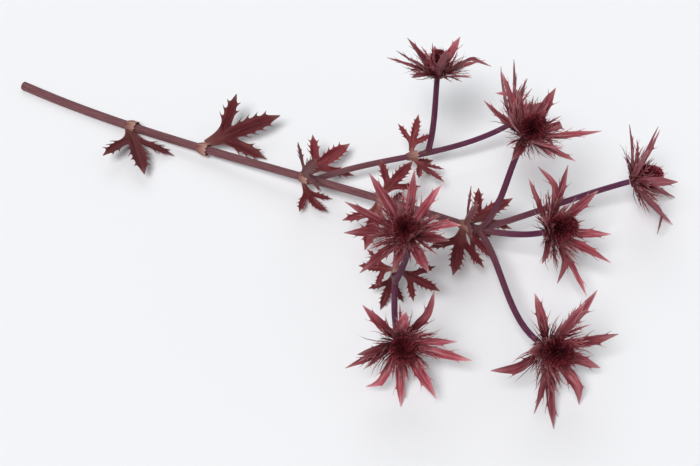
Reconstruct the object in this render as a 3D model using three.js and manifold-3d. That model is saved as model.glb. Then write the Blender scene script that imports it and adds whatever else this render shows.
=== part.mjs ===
// A cut stem of sea holly (Eryngium) lying on a flat surface, in millimetres.
// +X runs along the stem from its cut end to its heads, +Z is up, and the surface is Z = 0.
// The stem and its branches are one solid. Each head is two: a ruff of spiny bracts on their shared
// receptacle, and the cone of packed florets seated on it. Each joint of the stem wears a whorl of
// lobed, spiny leaves on the collar that clasps it.

import * as THREE from "three";
import { mergeVertices } from "three/addons/utils/BufferGeometryUtils.js";
import Module from "manifold-3d";

const wasm = await Module();
wasm.setup();

// ---------------------------------------------------------------- driving dimensions

const SEAT_GAP = 0.3; // between pieces that sit on each other
const CONTACT = 0.12; // how far what rests on the surface is pressed flat
const FOOTPRINT_CENTRE = [258.1, 3.6]; // middle of the part's box, measured from the cut end

// Stalks run along cubic curves, with two sides to each rib.
const RIB_HEIGHT = 0.05; // as a share of the stalk's radius
const MAIN = {
  path: [[0, 0, 3.0], [130, -7, 1.6], [262, 9, 15], [390, 0, 30]],
  radii: [3.3, 2.5],
  steps: 20,
  sides: 10,
};
const JOINTS = { low: 0.66, middle: 0.82, top: 1 }; // where branches leave, along the main stem
const PEDUNCLE = { radii: [2.2, 1.9], steps: 8, sides: 8, easeOut: 0.36, easeIn: 0.34 };

// Every head: where its peduncle starts and how that leaves, then where the head sits and points.
const HEADS = [
  { from: "top", leave: [0.97, 0.02, 0.24], seat: [438, 5, 47], axis: [0.8, 0.1, 0.6], size: 1, spin: 10 },
  { from: "top", leave: [0.72, 0.68, 0.12], seat: [466, 90, 34], axis: [0.8, 0.5, 0.3], size: 1, spin: 30 },
  { from: "top", leave: [0.76, -0.64, 0.1], seat: [474, -80, 36], axis: [0.84, -0.4, 0.34], size: 1.05, spin: 4 },
  { from: "top", leave: [0.55, 0.1, 0.83], seat: [410, 20, 108], axis: [0.34, 0.14, 0.92], size: 0.96, spin: 20 },
  { from: "middle", leave: [0.62, -0.77, 0.1], seat: [388, -118, 33], axis: [0.58, -0.74, 0.3], size: 0.95, spin: 12 },
  { from: "right", leave: [0.3, -0.1, 0.95], seat: [372, -78, 88], axis: [0.02, -0.38, 0.92], size: 0.92, spin: 0 },
  { from: "low", leave: [0.62, 0.77, 0.1], seat: [364, 112, 28], axis: [0.58, 0.74, 0.3], size: 0.97, spin: 25 },
  { from: "left", leave: [0.2, 0.05, 0.97], seat: [318, 78, 80], axis: [-0.12, 0.36, 0.92], size: 0.88, spin: 15 },
];
const FORKS = { right: { head: 4, at: 0.56 }, left: { head: 6, at: 0.56 } }; // joints on two side branches

const RECEPTACLE = { top: 7, bottom: 4, height: 5, sides: 10 };
const BRACTS = 10;
const BRACT = { length: 43, halfWidth: 3.6, rib: 1.3, fold: 1.1, toothLength: 2.6 };
const BRACT_TEETH = [0.26, 0.45, 0.63]; // where the spines of a margin start, along the bract
const BRACT_RINGS = [{ angle: 73, down: 3.2 }, { angle: 57, down: 1.4 }]; // from the axis; below the rim
const BRACT_SINK = 1.6; // how deep a root sits in the receptacle
const NEEDLES = 10;
const NEEDLE = { length: 24, radius: 0.8, angles: [82, 98], down: 3.6 };
const CONE = { radius: 7.6, belly: 8, dome: 13, around: 9, rows: 7, spike: 2.4 };
const CONE_SPAN = [-38, 72]; // first and last row, in degrees up the ovoid

// A leaf has a middle lobe and two side lobes. Its sizes are those of one REFERENCE long.
const LEAF = { reference: 42, neck: 9, rib: 1.4, fold: 1.2, toothLength: 2.4, root: 2.3 };
const MIDDLE_LOBE = { halfWidth: 4.1, rows: [0.3, 0.5, 0.68] };
const SIDE_LOBE = { length: 26, halfWidth: 2.9, spread: 50, rows: [0.38, 0.6], innerTeeth: [0.6] };
const SINUS = 7.8; // from the neck to the notch between two lobes
const LEAF_ROLL = 3; // how far sideways leaves turn their faces up
const COLLAR = { wall: 2, length: 5, sides: 10 };

// Every whorl: the stalk it clasps and how far along, then each leaf's turn, lean, length and curl.
const WHORLS = [
  {
    name: "leaf_whorl_top", stalk: "main", at: 0.972,
    leaves: [[20, 66, 40, 12], [98, 72, 44, 8], [262, 70, 42, 10], [186, 60, 34, 30]],
  },
  {
    name: "leaf_whorl_middle", stalk: "main", at: 0.8,
    leaves: [[92, 74, 46, -6], [330, 60, 38, 14], [212, 66, 34, 20]],
  },
  {
    name: "leaf_whorl_low", stalk: "main", at: 0.638,
    leaves: [[268, 74, 48, -4], [28, 62, 42, 16], [150, 64, 34, 20]],
  },
  { name: "leaf_whorl_right", stalk: 4, at: 0.48, leaves: [[60, 66, 30, 10], [262, 62, 32, 8], [160, 68, 28, 16]] },
  { name: "leaf_whorl_left", stalk: 6, at: 0.48, leaves: [[300, 66, 30, 10], [98, 62, 32, 8], [200, 68, 28, 16]] },
  { name: "stem_leaf_left", stalk: "main", at: 0.42, leaves: [[282, 48, 62, -8]] },
  { name: "stem_leaf_right", stalk: "main", at: 0.26, leaves: [[80, 44, 58, -8]] },
];

const COLOURS = { stem: 0x8a5a58, bract: 0x7d3640, cone: 0x3a141c, leaf: 0x74363b };

// ---------------------------------------------------------------- helpers

const UP = new THREE.Vector3(0, 0, 1);
const SPLAY_AXIS = new THREE.Vector3(0, 1, 0); // turns round an axis start square to this
const vec = (list) => new THREE.Vector3(...list);
const radians = THREE.MathUtils.degToRad;
const mix = THREE.MathUtils.lerp;

// A fixed draw from 0 to 1 for each whole number.
function draw(n) {
  const s = Math.sin(n * 12.9898 + 4.1) * 43758.5453;
  return s - Math.floor(s);
}

function solidOf(geometry) {
  geometry.deleteAttribute("normal");
  geometry.deleteAttribute("uv");
  const merged = mergeVertices(geometry, 1e-4);
  const vertProperties = merged.attributes.position.array;
  const triVerts = new Uint32Array(merged.index.array);
  return new wasm.Manifold(new wasm.Mesh({ numProp: 3, vertProperties, triVerts }));
}

const solidOfCorners = (corners) => solidOf(new THREE.BufferGeometry().setFromPoints(corners));
const joined = (solids) => solids.reduce((whole, solid) => whole.add(solid));

// The largest body of a solid, without the scraps that a cut can leave.
function largestBody(solid) {
  return solid.decompose().reduce((best, body) => (body.volume() > best.volume() ? body : best));
}

// The direction square to an axis at a turn round it. Round +X, 0 is up and 90 degrees is towards -Y.
function outward(axis, turn) {
  const first = axis.clone().cross(SPLAY_AXIS).normalize();
  const second = axis.clone().cross(first);
  return first.multiplyScalar(Math.cos(turn)).addScaledVector(second, Math.sin(turn));
}

// A geometry made along +Y, stood on `place` with its Y along the axis.
function stood(geometry, place, axis, spin = 0) {
  const across = outward(axis, spin);
  const basis = new THREE.Matrix4().makeBasis(across, axis, across.clone().cross(axis));
  return solidOf(geometry.applyMatrix4(basis.setPosition(place)));
}

// ---------------------------------------------------------------- stalks

const bezier = (points) => new THREE.CubicBezierCurve3(...points.map(vec));

function makeStalks() {
  const main = { curve: bezier(MAIN.path), ...MAIN };
  const starts = Object.fromEntries(Object.entries(JOINTS).map(([name, t]) => [name, main.curve.getPoint(t)]));
  const peduncles = [];
  for (const head of HEADS) {
    for (const [name, fork] of Object.entries(FORKS)) {
      if (peduncles[fork.head]) starts[name] = peduncles[fork.head].curve.getPoint(fork.at);
    }
    const start = starts[head.from];
    const axis = vec(head.axis).normalize();
    const end = vec(head.seat).addScaledVector(axis, -SEAT_GAP);
    const span = start.distanceTo(end);
    const leaving = start.clone().addScaledVector(vec(head.leave).normalize(), span * PEDUNCLE.easeOut);
    const arriving = end.clone().addScaledVector(axis, -span * PEDUNCLE.easeIn);
    peduncles.push({ curve: new THREE.CubicBezierCurve3(start, leaving, arriving, end), ...PEDUNCLE });
  }
  return { main, peduncles };
}

function stalkSolid(stalk) {
  const geometry = new THREE.CylinderGeometry(1, 1, 1, stalk.sides, stalk.steps);
  const place = geometry.attributes.position;
  for (let i = 0; i < place.count; i++) {
    const along = place.getY(i) + 0.5;
    const turn = Math.atan2(place.getZ(i), place.getX(i));
    const ribbed = 1 + RIB_HEIGHT * Math.cos((stalk.sides / 2) * turn);
    const radius = mix(...stalk.radii, along) * ribbed * Math.hypot(place.getX(i), place.getZ(i));
    const tangent = stalk.curve.getTangent(along);
    const point = stalk.curve.getPoint(along).addScaledVector(outward(tangent, -turn), radius);
    place.setXYZ(i, point.x, point.y, point.z);
  }
  return solidOf(geometry);
}

// ---------------------------------------------------------------- blades

const TOOTH_BACK = 0.062; // how far along a lobe the root of a spine runs
const TOOTH_LEAN = 0.085; // how far along it the spine's tip lies
const START_FOLD = 0.5; // how much of the fold a lobe's margin starts with
const widthAt = (t) => Math.pow(1 - t, 0.85) * (0.44 + 2.6 * t); // of a lobe's half width

// A blade is drawn on a plane and laid on an arc, which turns by `bend` towards its face.
function onArc(blade, [along, across], height) {
  const bend = blade.bend || 1e-4;
  const turn = (bend * along) / blade.length;
  const reach = blade.length / bend;
  return blade.base
    .clone()
    .addScaledVector(blade.along, (reach - height) * Math.sin(turn))
    .addScaledVector(blade.face, reach - (reach - height) * Math.cos(turn))
    .addScaledVector(blade.side, across);
}

// The place on the plane of a point `t` along a lobe and `across` from its rib.
function inLobe(lobe, t, across) {
  const [cos, sin] = [Math.cos(lobe.spread), Math.sin(lobe.spread)];
  const along = t * lobe.length;
  return [lobe.root + along * cos - across * sin, along * sin + across * cos];
}

// The rows of corners of one half of a lobe, from its rib out to its spiny margin.
function halfLobe(blade, lobe, hand, depth) {
  const rib = (t) => onArc(blade, inLobe(lobe, t, 0), -depth * blade.rib * (1 - 0.5 * t));
  const margin = (t, spine) => {
    const width = widthAt(t);
    return onArc(blade, inLobe(lobe, t, hand * (width * lobe.halfWidth + spine)), width * blade.fold);
  };
  const first = { rib: rib(0), edge: onArc(blade, lobe.start[hand], START_FOLD * blade.fold) };
  const spine = (t) => ({ tip: margin(t + TOOTH_LEAN, blade.toothLength), back: margin(t + TOOTH_BACK, 0) });
  const rows = lobe.rows.map((t) => ({
    rib: rib(t),
    edge: margin(t, 0),
    ...(lobe.teeth[hand].includes(t) ? spine(t) : {}),
  }));
  return [first, ...rows, { rib: onArc(blade, inLobe(lobe, 1, 0), 0) }];
}

// The corners of every triangle of a blade. Both faces share its margin, and its rib is deeper.
function bladeCorners(blade) {
  const corners = [];
  const fan = (outline, flipped) => {
    const ring = outline.filter((corner) => corner);
    for (let i = 1; i < ring.length - 1; i++) {
      corners.push(ring[0], ...(flipped ? [ring[i + 1], ring[i]] : [ring[i], ring[i + 1]]));
    }
  };
  const heel = (hand) => onArc(blade, [0, hand * blade.root], START_FOLD * blade.fold);
  const root = (depth, along = 0) => onArc(blade, [along, 0], -depth * blade.rib);
  for (const hand of [-1, 1]) {
    for (const depth of [0, 1]) {
      const flipped = hand > 0 === depth > 0;
      for (const lobe of blade.lobes) {
        const rows = halfLobe(blade, lobe, hand, depth);
        rows.slice(1).forEach((next, k) => {
          const row = rows[k];
          fan([row.rib, next.rib, next.edge, row.back, row.tip, row.edge], flipped);
        });
      }
      if (blade.neck) fan([root(depth), root(depth, blade.neck), heel(hand)], flipped);
    }
    fan([root(0), heel(hand), root(1)], hand < 0);
  }
  return corners;
}

// Bends a blade up until it only touches the surface.
function settled(blade) {
  let bend = blade.bend;
  const lowest = () => Math.min(...bladeCorners({ ...blade, bend }).map((corner) => corner.z));
  while (lowest() < -CONTACT && bend < radians(120)) bend += radians(0.5);
  return { ...blade, bend };
}

// ---------------------------------------------------------------- heads

// Where a bract or needle leaves a head: its root in the receptacle, and its directions.
function spoke(head, turn, angle, down) {
  const axis = vec(head.axis).normalize();
  const radial = outward(axis, turn);
  const out = mix(RECEPTACLE.top, RECEPTACLE.bottom, down / RECEPTACLE.height) - BRACT_SINK;
  const base = vec(head.seat)
    .addScaledVector(axis, (RECEPTACLE.height - down) * head.size)
    .addScaledVector(radial, out * head.size);
  const along = axis.clone().multiplyScalar(Math.cos(angle)).addScaledVector(radial, Math.sin(angle));
  const face = axis.clone().multiplyScalar(Math.sin(angle)).addScaledVector(radial, -Math.cos(angle));
  return { base, along, face, side: face.clone().cross(along) };
}

function bractBlade(head, index, order) {
  const seed = index * 100 + order;
  const turn = radians(head.spin + (360 / BRACTS) * order + 8 * (draw(seed) - 0.5));
  const ring = BRACT_RINGS[order % 2];
  const angle = radians(ring.angle + 10 * (draw(seed + 31) - 0.5));
  const length = BRACT.length * head.size * (0.88 + 0.24 * draw(seed + 57));
  const halfWidth = BRACT.halfWidth * head.size * (0.88 + 0.24 * draw(seed + 73));
  const root = widthAt(0) * halfWidth;
  const start = { [-1]: [0, -root], 1: [0, root] };
  const teeth = { [-1]: BRACT_TEETH, 1: BRACT_TEETH };
  const lobes = [{ root: 0, spread: 0, length, halfWidth, start, rows: BRACT_TEETH, teeth }];
  const bend = radians(-16 + 34 * draw(seed + 19));
  return settled({ ...BRACT, ...spoke(head, turn, angle, ring.down), length, root, lobes, bend });
}

function needleSolid(head, index, order) {
  const seed = index * 100 + order + 40;
  const turn = radians(head.spin + (360 / NEEDLES) * (order + 0.5) + 8 * (draw(seed) - 0.5));
  const angle = radians(mix(...NEEDLE.angles, draw(seed + 11)));
  const length = NEEDLE.length * head.size * (0.85 + 0.3 * draw(seed + 5));
  const { base, along } = spoke(head, turn, angle, NEEDLE.down);
  const geometry = new THREE.ConeGeometry(NEEDLE.radius, length, 3);
  return stood(geometry, base.addScaledVector(along, length / 2), along);
}

function ruffSolid(head, index) {
  const { top, bottom, height, sides } = RECEPTACLE;
  const axis = vec(head.axis).normalize();
  const middle = vec(head.seat).addScaledVector(axis, (height * head.size) / 2);
  const cup = new THREE.CylinderGeometry(top * head.size, bottom * head.size, height * head.size, sides);
  const bracts = Array.from({ length: BRACTS }, (_, i) => solidOfCorners(bladeCorners(bractBlade(head, index, i))));
  const needles = Array.from({ length: NEEDLES }, (_, i) => needleSolid(head, index, i));
  return joined([stood(cup, middle, axis, radians(head.spin)), ...bracts, ...needles]);
}

// An ovoid of staggered rows; every diamond between four of its corners rises to a floret's point.
function coneSolid(head) {
  const { around, rows } = CONE;
  const axis = vec(head.axis).normalize();
  const foot = vec(head.seat).addScaledVector(axis, RECEPTACLE.height * head.size + SEAT_GAP);
  const floor = -CONE.belly * Math.sin(radians(CONE_SPAN[0]));
  const at = (row, column, spike = 0) => {
    const rise = radians(mix(...CONE_SPAN, row / rows));
    const turn = (2 * Math.PI * (column % around)) / around + radians(head.spin);
    const height = floor + (rise > 0 ? CONE.dome : CONE.belly) * Math.sin(rise);
    const radial = outward(axis, turn);
    const normal = radial.clone().multiplyScalar(Math.cos(rise)).addScaledVector(axis, Math.sin(rise) + 0.35);
    return foot
      .clone()
      .addScaledVector(axis, height * head.size)
      .addScaledVector(radial, CONE.radius * head.size * Math.cos(rise))
      .addScaledVector(normal.normalize(), spike * head.size);
  };
  const crown = foot.clone().addScaledVector(axis, (floor + CONE.dome + CONE.spike / 2) * head.size);
  const corners = [];
  for (let row = 0; row <= rows; row++) {
    for (let j = 0; j < around; j++) {
      const column = j + 0.5 * (row % 2);
      const [left, right] = [at(row, column), at(row, column + 1)];
      const [below, above] = [at(row - 1, column + 0.5), at(row + 1, column + 0.5)];
      if (row === 0) corners.push(left, right, above, right, left, foot);
      else if (row === rows) corners.push(left, below, right, left, right, crown);
      else {
        const point = at(row, column + 0.5, CONE.spike * (row === 1 ? 0.5 : 1));
        corners.push(left, below, point, below, right, point, right, above, point, above, left, point);
      }
    }
  }
  return solidOfCorners(corners);
}

// ---------------------------------------------------------------- leaves

function leafLobes(scale, length) {
  const neck = LEAF.neck * scale;
  const spread = radians(SIDE_LOBE.spread);
  const notch = (hand) => {
    const reach = SINUS * scale;
    return [neck + reach * Math.cos(spread / 2), hand * reach * Math.sin(spread / 2)];
  };
  const heel = (hand) => [0, hand * LEAF.root * scale];
  const middle = {
    root: neck,
    spread: 0,
    length: length - neck,
    halfWidth: MIDDLE_LOBE.halfWidth * scale,
    start: { [-1]: notch(-1), 1: notch(1) },
    rows: MIDDLE_LOBE.rows,
    teeth: { [-1]: MIDDLE_LOBE.rows, 1: MIDDLE_LOBE.rows },
  };
  const sides = [-1, 1].map((hand) => ({
    root: neck,
    spread: hand * spread,
    length: SIDE_LOBE.length * scale,
    halfWidth: SIDE_LOBE.halfWidth * scale,
    start: { [hand]: heel(hand), [-hand]: notch(hand) },
    rows: SIDE_LOBE.rows,
    teeth: { [hand]: SIDE_LOBE.rows, [-hand]: SIDE_LOBE.innerTeeth },
  }));
  return [middle, ...sides];
}

function leafBlade(centre, tangent, sunk, [turn, lean, length, curl]) {
  const radial = outward(tangent, radians(turn));
  const angle = radians(lean);
  const along = tangent.clone().multiplyScalar(Math.cos(angle)).addScaledVector(radial, Math.sin(angle));
  const face = tangent
    .clone()
    .multiplyScalar(Math.sin(angle))
    .addScaledVector(radial, -Math.cos(angle))
    .addScaledVector(UP, LEAF_ROLL * Math.abs(Math.sin(radians(turn))));
  face.addScaledVector(along, -face.dot(along)).normalize();
  const scale = length / LEAF.reference;
  return settled({
    ...LEAF,
    base: centre.clone().addScaledVector(radial, sunk),
    along,
    face,
    side: face.clone().cross(along),
    length,
    root: LEAF.root * scale,
    neck: LEAF.neck * scale,
    toothLength: LEAF.toothLength * scale,
    lobes: leafLobes(scale, length),
    bend: radians(curl),
  });
}

function whorlSolid(whorl, stalk) {
  const centre = stalk.curve.getPoint(whorl.at);
  const tangent = stalk.curve.getTangent(whorl.at);
  const ridge = mix(...stalk.radii, whorl.at) * (1 + RIB_HEIGHT);
  const bore = (ridge + SEAT_GAP) / Math.cos(Math.PI / COLLAR.sides);
  const rim = bore + COLLAR.wall;
  const ring = stood(new THREE.CylinderGeometry(rim, rim * 0.9, COLLAR.length, COLLAR.sides), centre, tangent);
  const hole = stood(new THREE.CylinderGeometry(bore, bore, COLLAR.length * 3, COLLAR.sides), centre, tangent);
  const sunk = bore + COLLAR.wall / 2;
  const leaves = whorl.leaves.map((leaf) => solidOfCorners(bladeCorners(leafBlade(centre, tangent, sunk, leaf))));
  return joined([ring, ...leaves]).subtract(hole);
}

// ---------------------------------------------------------------- assembly

const part = new THREE.Group();
part.position.set(-FOOTPRINT_CENTRE[0], -FOOTPRINT_CENTRE[1], 0);

const BELOW = solidOf(new THREE.BoxGeometry(2000, 2000, 100).translate(0, 0, -50));

function addPiece(name, solid, colour, roughness) {
  const { vertProperties, triVerts } = largestBody(solid.subtract(BELOW)).getMesh();
  const geometry = new THREE.BufferGeometry();
  geometry.setAttribute("position", new THREE.BufferAttribute(vertProperties, 3));
  geometry.setIndex(new THREE.BufferAttribute(triVerts, 1));
  geometry.computeVertexNormals();
  const material = new THREE.MeshStandardMaterial({ color: colour, roughness, metalness: 0 });
  const mesh = new THREE.Mesh(geometry, material);
  mesh.name = name;
  part.add(mesh);
}

const { main, peduncles } = makeStalks();
addPiece("stem", joined([main, ...peduncles].map(stalkSolid)), COLOURS.stem, 0.6);

for (const whorl of WHORLS) {
  const stalk = whorl.stalk === "main" ? main : peduncles[whorl.stalk];
  addPiece(whorl.name, whorlSolid(whorl, stalk), COLOURS.leaf, 0.6);
}

HEADS.forEach((head, index) => {
  addPiece(`bract_ruff_${index + 1}`, ruffSolid(head, index), COLOURS.bract, 0.5);
  addPiece(`flower_cone_${index + 1}`, coneSolid(head), COLOURS.cone, 0.75);
});

export default part;
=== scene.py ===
"""The looks of one cut stem of sea holly, as a Blender add-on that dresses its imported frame.

The stem lies on a flat surface along +X, from its cut end to its heads. Every stalk, leaf, ruff and cone
keeps the place and form of the frame's own solid, which it stands for. Objects are in metres with Z up.
The placing rules count in millimetres from the cut end, and a blade's plan in millimetres from its root.
"""

import math
from collections import namedtuple
from contextlib import contextmanager

import bmesh
import bpy
import numpy as np
from bpy.props import FloatProperty, FloatVectorProperty, IntProperty, PointerProperty
from mathutils import Matrix, Vector
from mathutils.geometry import interpolate_bezier


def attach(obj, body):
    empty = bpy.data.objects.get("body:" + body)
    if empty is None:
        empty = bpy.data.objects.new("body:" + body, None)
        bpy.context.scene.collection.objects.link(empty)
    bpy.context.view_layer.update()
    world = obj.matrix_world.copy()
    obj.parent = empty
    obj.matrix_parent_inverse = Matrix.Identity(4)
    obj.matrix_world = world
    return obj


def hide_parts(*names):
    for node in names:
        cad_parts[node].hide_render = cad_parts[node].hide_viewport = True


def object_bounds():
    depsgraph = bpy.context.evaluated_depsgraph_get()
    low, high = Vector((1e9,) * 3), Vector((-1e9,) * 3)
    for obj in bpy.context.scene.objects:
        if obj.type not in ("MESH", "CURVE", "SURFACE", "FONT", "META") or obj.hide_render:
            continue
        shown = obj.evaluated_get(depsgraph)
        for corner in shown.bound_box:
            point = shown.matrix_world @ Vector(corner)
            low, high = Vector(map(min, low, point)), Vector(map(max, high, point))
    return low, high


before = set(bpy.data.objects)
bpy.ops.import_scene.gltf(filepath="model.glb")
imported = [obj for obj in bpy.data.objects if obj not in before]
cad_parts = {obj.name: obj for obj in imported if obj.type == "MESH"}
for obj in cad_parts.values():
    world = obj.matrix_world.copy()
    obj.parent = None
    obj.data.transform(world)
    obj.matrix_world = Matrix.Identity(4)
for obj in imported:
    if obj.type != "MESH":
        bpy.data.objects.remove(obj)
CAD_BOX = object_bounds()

bl_info = {
    "name": "Sea holly stem",
    "version": (1, 0, 0),
    "blender": (4, 5, 0),
    "location": "View3D > Sidebar > Sea holly",
    "description": "Dresses one cut, dyed stem of sea holly: its stalks, leaves, bracts and flower cones",
    "category": "Object",
}

# ---------------------------------------------------------------- where everything grows

MM = 0.001
FOOTPRINT_CENTRE = Vector((258.1, 3.6, 0))  # the frame's origin, counted from the cut end
SEAT_GAP = 0.3  # between a peduncle and its ruff, and between a ruff and its cone
CONTACT = 0.12  # how far what rests on the surface presses into it
SPLAY_AXIS = Vector((0, 1, 0))  # turns round an axis start square to this
UP = Vector((0, 0, 1))

# A stalk is a Bezier curve that narrows evenly from its first radius to its last.
Stalk = namedtuple("Stalk", "handles radii")
MAIN = Stalk([Vector(p) for p in ((0, 0, 3.0), (130, -7, 1.6), (262, 9, 15), (390, 0, 30))], (3.3, 2.5))
JOINTS = {"low": 0.66, "middle": 0.82, "top": 1.0}  # how far along the main stem
PEDUNCLE_RADII = (2.2, 1.9)
EASE_OUT, EASE_IN = 0.36, 0.34  # how far its ends keep a peduncle's direction, as shares of its span

# Each head: the joint where its peduncle starts, the way it leaves, its seat, its axis, its size, and how
# far it is spun round its axis.
Head = namedtuple("Head", "start leave seat axis size spin")
HEADS = [
    Head("top", (0.97, 0.02, 0.24), (438, 5, 47), (0.8, 0.1, 0.6), 1.0, 10),
    Head("top", (0.72, 0.68, 0.12), (466, 90, 34), (0.8, 0.5, 0.3), 1.0, 30),
    Head("top", (0.76, -0.64, 0.1), (474, -80, 36), (0.84, -0.4, 0.34), 1.05, 4),
    Head("top", (0.55, 0.1, 0.83), (410, 20, 108), (0.34, 0.14, 0.92), 0.96, 20),
    Head("middle", (0.62, -0.77, 0.1), (388, -118, 33), (0.58, -0.74, 0.3), 0.95, 12),
    Head("right", (0.3, -0.1, 0.95), (372, -78, 88), (0.02, -0.38, 0.92), 0.92, 0),
    Head("low", (0.62, 0.77, 0.1), (364, 112, 28), (0.58, 0.74, 0.3), 0.97, 25),
    Head("left", (0.2, 0.05, 0.97), (318, 78, 80), (-0.12, 0.36, 0.92), 0.88, 15),
]
FORKS = {"right": (4, 0.56), "left": (6, 0.56)}  # joints on two side branches: which, and how far along

# Each whorl: its node, the stalk it clasps (-1 is the main stem) and how far along, then each leaf's
# turn, lean, length and curl.
Whorl = namedtuple("Whorl", "node stalk at leaves")
WHORLS = [
    Whorl(
        "leaf_whorl_top", -1, 0.972,
        [(20, 66, 40, 12), (98, 72, 44, 8), (262, 70, 42, 10), (186, 60, 34, 30)],
    ),
    Whorl("leaf_whorl_middle", -1, 0.8, [(92, 74, 46, -6), (330, 60, 38, 14), (212, 66, 34, 20)]),
    Whorl("leaf_whorl_low", -1, 0.638, [(268, 74, 48, -4), (28, 62, 42, 16), (150, 64, 34, 20)]),
    Whorl("leaf_whorl_right", 4, 0.48, [(60, 66, 30, 10), (262, 62, 32, 8), (160, 68, 28, 16)]),
    Whorl("leaf_whorl_left", 6, 0.48, [(300, 66, 30, 10), (98, 62, 32, 8), (200, 68, 28, 16)]),
    Whorl("stem_leaf_left", -1, 0.42, [(282, 48, 62, -8)]),
    Whorl("stem_leaf_right", -1, 0.26, [(80, 44, 58, -8)]),
]
LEAF_REFERENCE = 42  # length of the modelled leaf, which all the others are scaled from
LEAF_ROLL = 3  # how far leaves that grow sideways turn their faces up
RIB = 0.4  # how far the rib of a leaf or a large bract stands out of its back

RECEPTACLE_TOP, RECEPTACLE_BOTTOM, RECEPTACLE_HEIGHT = 7, 4, 5  # two radii and the height between them
BRACT_SINK = 1.6  # how deep a root sits in the receptacle
BRACT_RINGS = ((73, 3.2), (57, 1.4))  # each ring's angle from the axis, and how far below the rim it roots
CONE_RADIUS, CONE_BELLY, CONE_DOME = 7.6, 8, 13  # a cone, and its ovoid's height below and above its middle
CONE_FOOT = math.radians(-38)  # where round its ovoid a cone starts
GOLDEN_ANGLE = math.radians(137.508)

STREAK_LENGTH = 15  # of the streaks in a stalk's skin


def fixed_draw(n):
    """A fixed draw from 0 to 1 for each whole number."""
    s = math.sin(n * 12.9898 + 4.1) * 43758.5453
    return s - math.floor(s)


def mix(low, high, share):
    """A value between two others, at a share of the way."""
    return low + (high - low) * share


def vary(low, high, n):
    """A fixed draw between two values for each whole number."""
    return mix(low, high, fixed_draw(n))


def in_frame(point):
    """A place counted from the cut end in millimetres, in the frame's metres."""
    return (Vector(point) - FOOTPRINT_CENTRE) * MM


def outward(axis, turn):
    """The direction square to an axis at a turn round it."""
    first = axis.cross(SPLAY_AXIS).normalized()
    return first * math.cos(turn) + axis.cross(first) * math.sin(turn)


def point_on(stalk, t):
    """A place along a stalk, from 0 at its start to 1 at its end."""
    a, b, c, d = stalk.handles
    s = 1 - t
    return a * s**3 + b * 3 * s * s * t + c * 3 * s * t * t + d * t**3


def tangent_on(stalk, t):
    """The direction in which a stalk grows at a place along it."""
    a, b, c, d = stalk.handles
    s = 1 - t
    return ((b - a) * s * s + (c - b) * 2 * s * t + (d - c) * t * t).normalized()


def peduncles():
    """The stalk of every head, from the joint it leaves to its seat."""
    starts = {name: point_on(MAIN, t) for name, t in JOINTS.items()}
    stalks = []
    for head in HEADS:
        for name, (fork, t) in FORKS.items():
            if fork < len(stalks):
                starts[name] = point_on(stalks[fork], t)
        start, axis = starts[head.start], Vector(head.axis).normalized()
        end = Vector(head.seat) - axis * SEAT_GAP
        span = (end - start).length
        leaving = start + Vector(head.leave).normalized() * span * EASE_OUT
        stalks.append(Stalk([start, leaving, end - axis * span * EASE_IN, end], PEDUNCLE_RADII))
    return stalks


def facing(place, side, face, along):
    """The matrix that lays a shape with its X on side, its Y on face and its Z on along."""
    turned = Matrix((side, face, along)).transposed().to_4x4()
    return Matrix.Translation(in_frame(place)) @ turned


def spoke(head, turn, angle, down):
    """Where a bract leaves its head: its root in millimetres, its side, its face and its way out."""
    axis = Vector(head.axis).normalized()
    radial = outward(axis, turn)
    out = mix(RECEPTACLE_TOP, RECEPTACLE_BOTTOM, down / RECEPTACLE_HEIGHT) - BRACT_SINK
    root = Vector(head.seat) + (axis * (RECEPTACLE_HEIGHT - down) + radial * out) * head.size
    along = axis * math.cos(angle) + radial * math.sin(angle)
    face = axis * math.sin(angle) - radial * math.cos(angle)
    return root, face.cross(along), face, along


# ---------------------------------------------------------------- working in Blender

SMOOTH_BELOW = math.radians(50)  # edges that turn more than this stay sharp


def only(*pieces):
    """Selects these objects and no others, with the first one active."""
    bpy.ops.object.select_all(action="DESELECT")
    for piece in pieces:
        piece.select_set(True)
    bpy.context.view_layer.objects.active = pieces[0]


def new_shape(add, **settings):
    """Adds one of Blender's own shapes, with nothing else selected, and applies its place."""
    bpy.ops.object.select_all(action="DESELECT")
    add(**settings)
    bpy.ops.object.transform_apply()
    return bpy.context.object


@contextmanager
def editing(piece):
    """Edit mode on one piece, picking by vertex."""
    only(piece)
    bpy.ops.object.mode_set(mode="EDIT")
    bpy.ops.mesh.select_mode(type="VERT")
    yield
    bpy.ops.object.mode_set(mode="OBJECT")


def pick(wanted=lambda place: True):
    """In edit mode, selects the vertices whose place passes the test, and nothing else."""
    bpy.ops.mesh.select_all(action="DESELECT")
    mesh = bmesh.from_edit_mesh(bpy.context.object.data)
    for vertex in mesh.verts:
        vertex.select = wanted(vertex.co)
    mesh.select_flush(True)
    bmesh.update_edit_mesh(bpy.context.object.data)


def near(*places):
    """A test for pick: within a hundredth of a millimetre of one of these places."""
    return lambda co: any((co - place).length < 0.01 * MM for place in places)


def level(axis, height, slack=0.001 * MM):
    """A test for pick: level with a height along one axis."""
    index = "xyz".index(axis)
    return lambda co: abs(co[index] - height) < slack


def spaced(step):
    """A test for pick: at a whole number of these steps round the Z axis, counted from +Y."""
    return lambda co: abs(math.remainder(math.atan2(co.x, co.y), step)) < 0.05


def finish_with(piece, kind, **settings):
    """Gives a piece one modifier with these settings, and applies it."""
    only(piece)
    modifier = piece.modifiers.new(kind.title(), kind)
    for name, value in settings.items():
        setattr(modifier, name, value)
    bpy.ops.object.modifier_apply(modifier=modifier.name)


def mark(piece, name, values):
    """Writes one number for each vertex, or one for all of them, which the materials read by this name."""
    attribute = piece.data.attributes.get(name) or piece.data.attributes.new(name, "FLOAT", "POINT")
    count = len(piece.data.vertices)
    attribute.data.foreach_set("value", [values] * count if isinstance(values, (int, float)) else values)


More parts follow.
